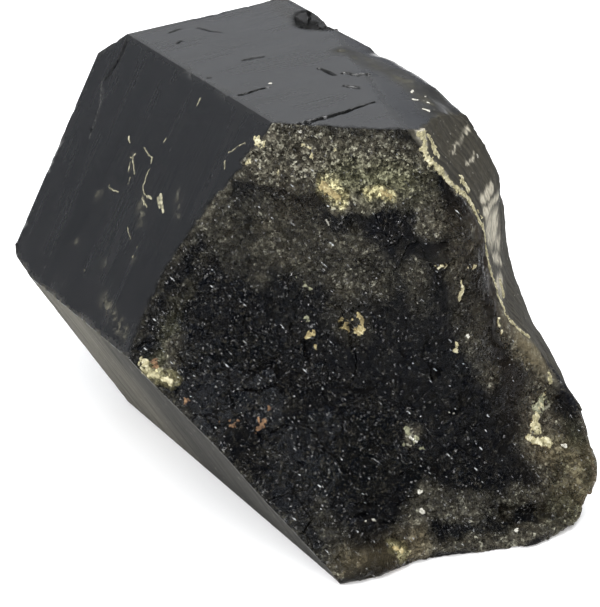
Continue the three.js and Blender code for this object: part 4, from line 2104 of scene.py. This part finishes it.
@dataclass(frozen=True)
class Lamp:
    """One soft square light that shines on the crystal.

    Attributes:
        name: The light's name.
        way: Where it hangs, from the middle of the crystal's box, in metres.
        size: The length of its side, in metres.
        power: Its power, in watts.
    """

    name: str
    way: Point
    size: float
    power: float

    def hang(self, middle: Vector) -> None:
        """Hangs the light.

        Args:
            middle: The middle of the crystal's box.
        """
        light = bpy.data.lights.new(self.name, "AREA")
        light.shape, light.size, light.energy = "SQUARE", self.size, self.power
        lamp = bpy.data.objects.new(self.name, light)
        bpy.context.scene.collection.objects.link(lamp)
        lamp.location = middle + Vector(self.way)
        lamp.rotation_mode = "QUATERNION"
        lamp.rotation_quaternion = Vector(self.way).to_track_quat("Z", "Y")
        lamp.visible_camera = False


LAMPS = (
    Lamp("key_light", (-0.42, -0.30, 0.62), 1.0, 10.5),
    Lamp("glint_light", (-0.5, -0.5, 0.4), 0.08, 0.9),
    Lamp("top_light", (0.1, -0.1, 1.1), 0.8, 12.0),
)


@dataclass
class Studio:
    """Pale paper, soft light, and the camera's place.

    Attributes:
        azimuth: Which way the camera is from the crystal, in degrees from -Y towards +X.
        elevation: How high it is, in degrees.
        roll: How far it leans over, in degrees.
        away: How far it is from the box's middle, in mm.
        aside: How far it is moved to its own right, in mm.
        above: How far it is moved up, in mm.
        lens: Its focal length, in mm.
        sensor: The width of its sensor, in mm.
        paper: The radius of the paper, in metres.
        paper_gap: How far the paper is below the crystal, in metres.
    """

    azimuth: float = -31.244
    elevation: float = 26.884
    roll: float = -1.328
    away: float = 437.98
    aside: float = 5.46
    above: float = -12.56
    lens: float = 143.62
    sensor: float = 36.0
    paper: float = 2.4
    paper_gap: float = 0.0002

    def build(self, low: Vector, high: Vector) -> None:
        """Lays the paper, hangs the lights and sets the camera.

        Args:
            low: The lowest corner of the object's box.
            high: The highest corner of the object's box.
        """
        middle = (low + high) / 2
        self.lay_paper(low)
        self.light_world()
        for lamp in LAMPS:
            lamp.hang(middle)
        self.set_camera(middle)
        bpy.context.scene.view_settings.view_transform = "Standard"

    def lay_paper(self, low: Vector) -> None:
        """A round of paper just under the crystal.

        Args:
            low: The lowest corner of the object's box.
        """
        made = bmesh.new()
        bmesh.ops.create_circle(made, cap_ends=True, radius=self.paper, segments=96)
        mesh = bpy.data.meshes.new("paper")
        made.to_mesh(mesh)
        made.free()
        mesh.materials.append(StudioPaper().made())
        paper = bpy.data.objects.new("paper", mesh)
        bpy.context.scene.collection.objects.link(paper)
        paper.location = (0, 0, low.z - self.paper_gap)

    def light_world(self) -> None:
        """Soft light from all round: bright above and behind, dim low down and in front."""
        world = bpy.data.worlds.new("soft_studio")
        bpy.context.scene.world = world
        world.use_nodes = True
        shader = Shader(world.node_tree)
        way = shader.node("ShaderNodeTexCoord").outputs["Generated"]
        parts = shader.node("ShaderNodeSeparateXYZ", None, {0: way})
        x, y, z = (shader.value(parts, k) for k in range(3))
        sky = 0.3 + z.rise(0.02, 0.5) * 0.85
        behind = (y * 0.85 + x * 0.2).rise(-0.5, 0.6)
        light = sky * (0.35 + behind * 0.65) * (1.0 - x.rise(0.5, 0.95) * 0.6)
        colour = shader.blend(z.rise(0.1, 0.5), (0.84, 0.89, 1.0), (0.97, 0.985, 1.0))
        glow = shader.node("ShaderNodeBackground", None, {"Color": colour, "Strength": light})
        shader.node("ShaderNodeOutputWorld", None, {"Surface": glow.outputs[0]})

    def set_camera(self, middle: Vector) -> None:
        """The camera, in front, above and to the left of the crystal.

        Args:
            middle: The middle of the object's box.
        """
        a, e, r = (math.radians(v) for v in (self.azimuth, self.elevation, self.roll))
        back = Vector((math.sin(a) * math.cos(e), -math.cos(a) * math.cos(e), math.sin(e)))
        right = Vector((math.cos(a), math.sin(a), 0))
        up = back.cross(right)
        across = math.cos(r) * right + math.sin(r) * up
        upward = math.cos(r) * up - math.sin(r) * right
        lens = bpy.data.cameras.new("camera")
        lens.lens, lens.sensor_width, lens.sensor_fit = self.lens, self.sensor, "AUTO"
        lens.clip_start, lens.clip_end = 0.01, 20.0
        camera = bpy.data.objects.new("camera", lens)
        bpy.context.scene.collection.objects.link(camera)
        offset = back * self.away + right * self.aside + up * self.above
        turn = Matrix((across, upward, back)).transposed().to_4x4()
        turn.translation = middle + offset * MM
        camera.matrix_world = turn
        bpy.context.scene.camera = camera


def main() -> None:
    """Builds the crystal, its films and the studio."""
    logging.basicConfig(level=logging.INFO, format="%(name)s: %(message)s")
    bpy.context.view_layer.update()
    low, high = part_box(NODE)
    body = CrystalBody(ledges=LEDGES, shoulders=SHOULDERS)
    piece = body.build()
    LOG.info("%s: %d faces", piece.name, len(piece.data.polygons))
    for film in FILMS:
        film.build(body)
    Studio().build(low, high)


if __name__ == "__main__":
    main()
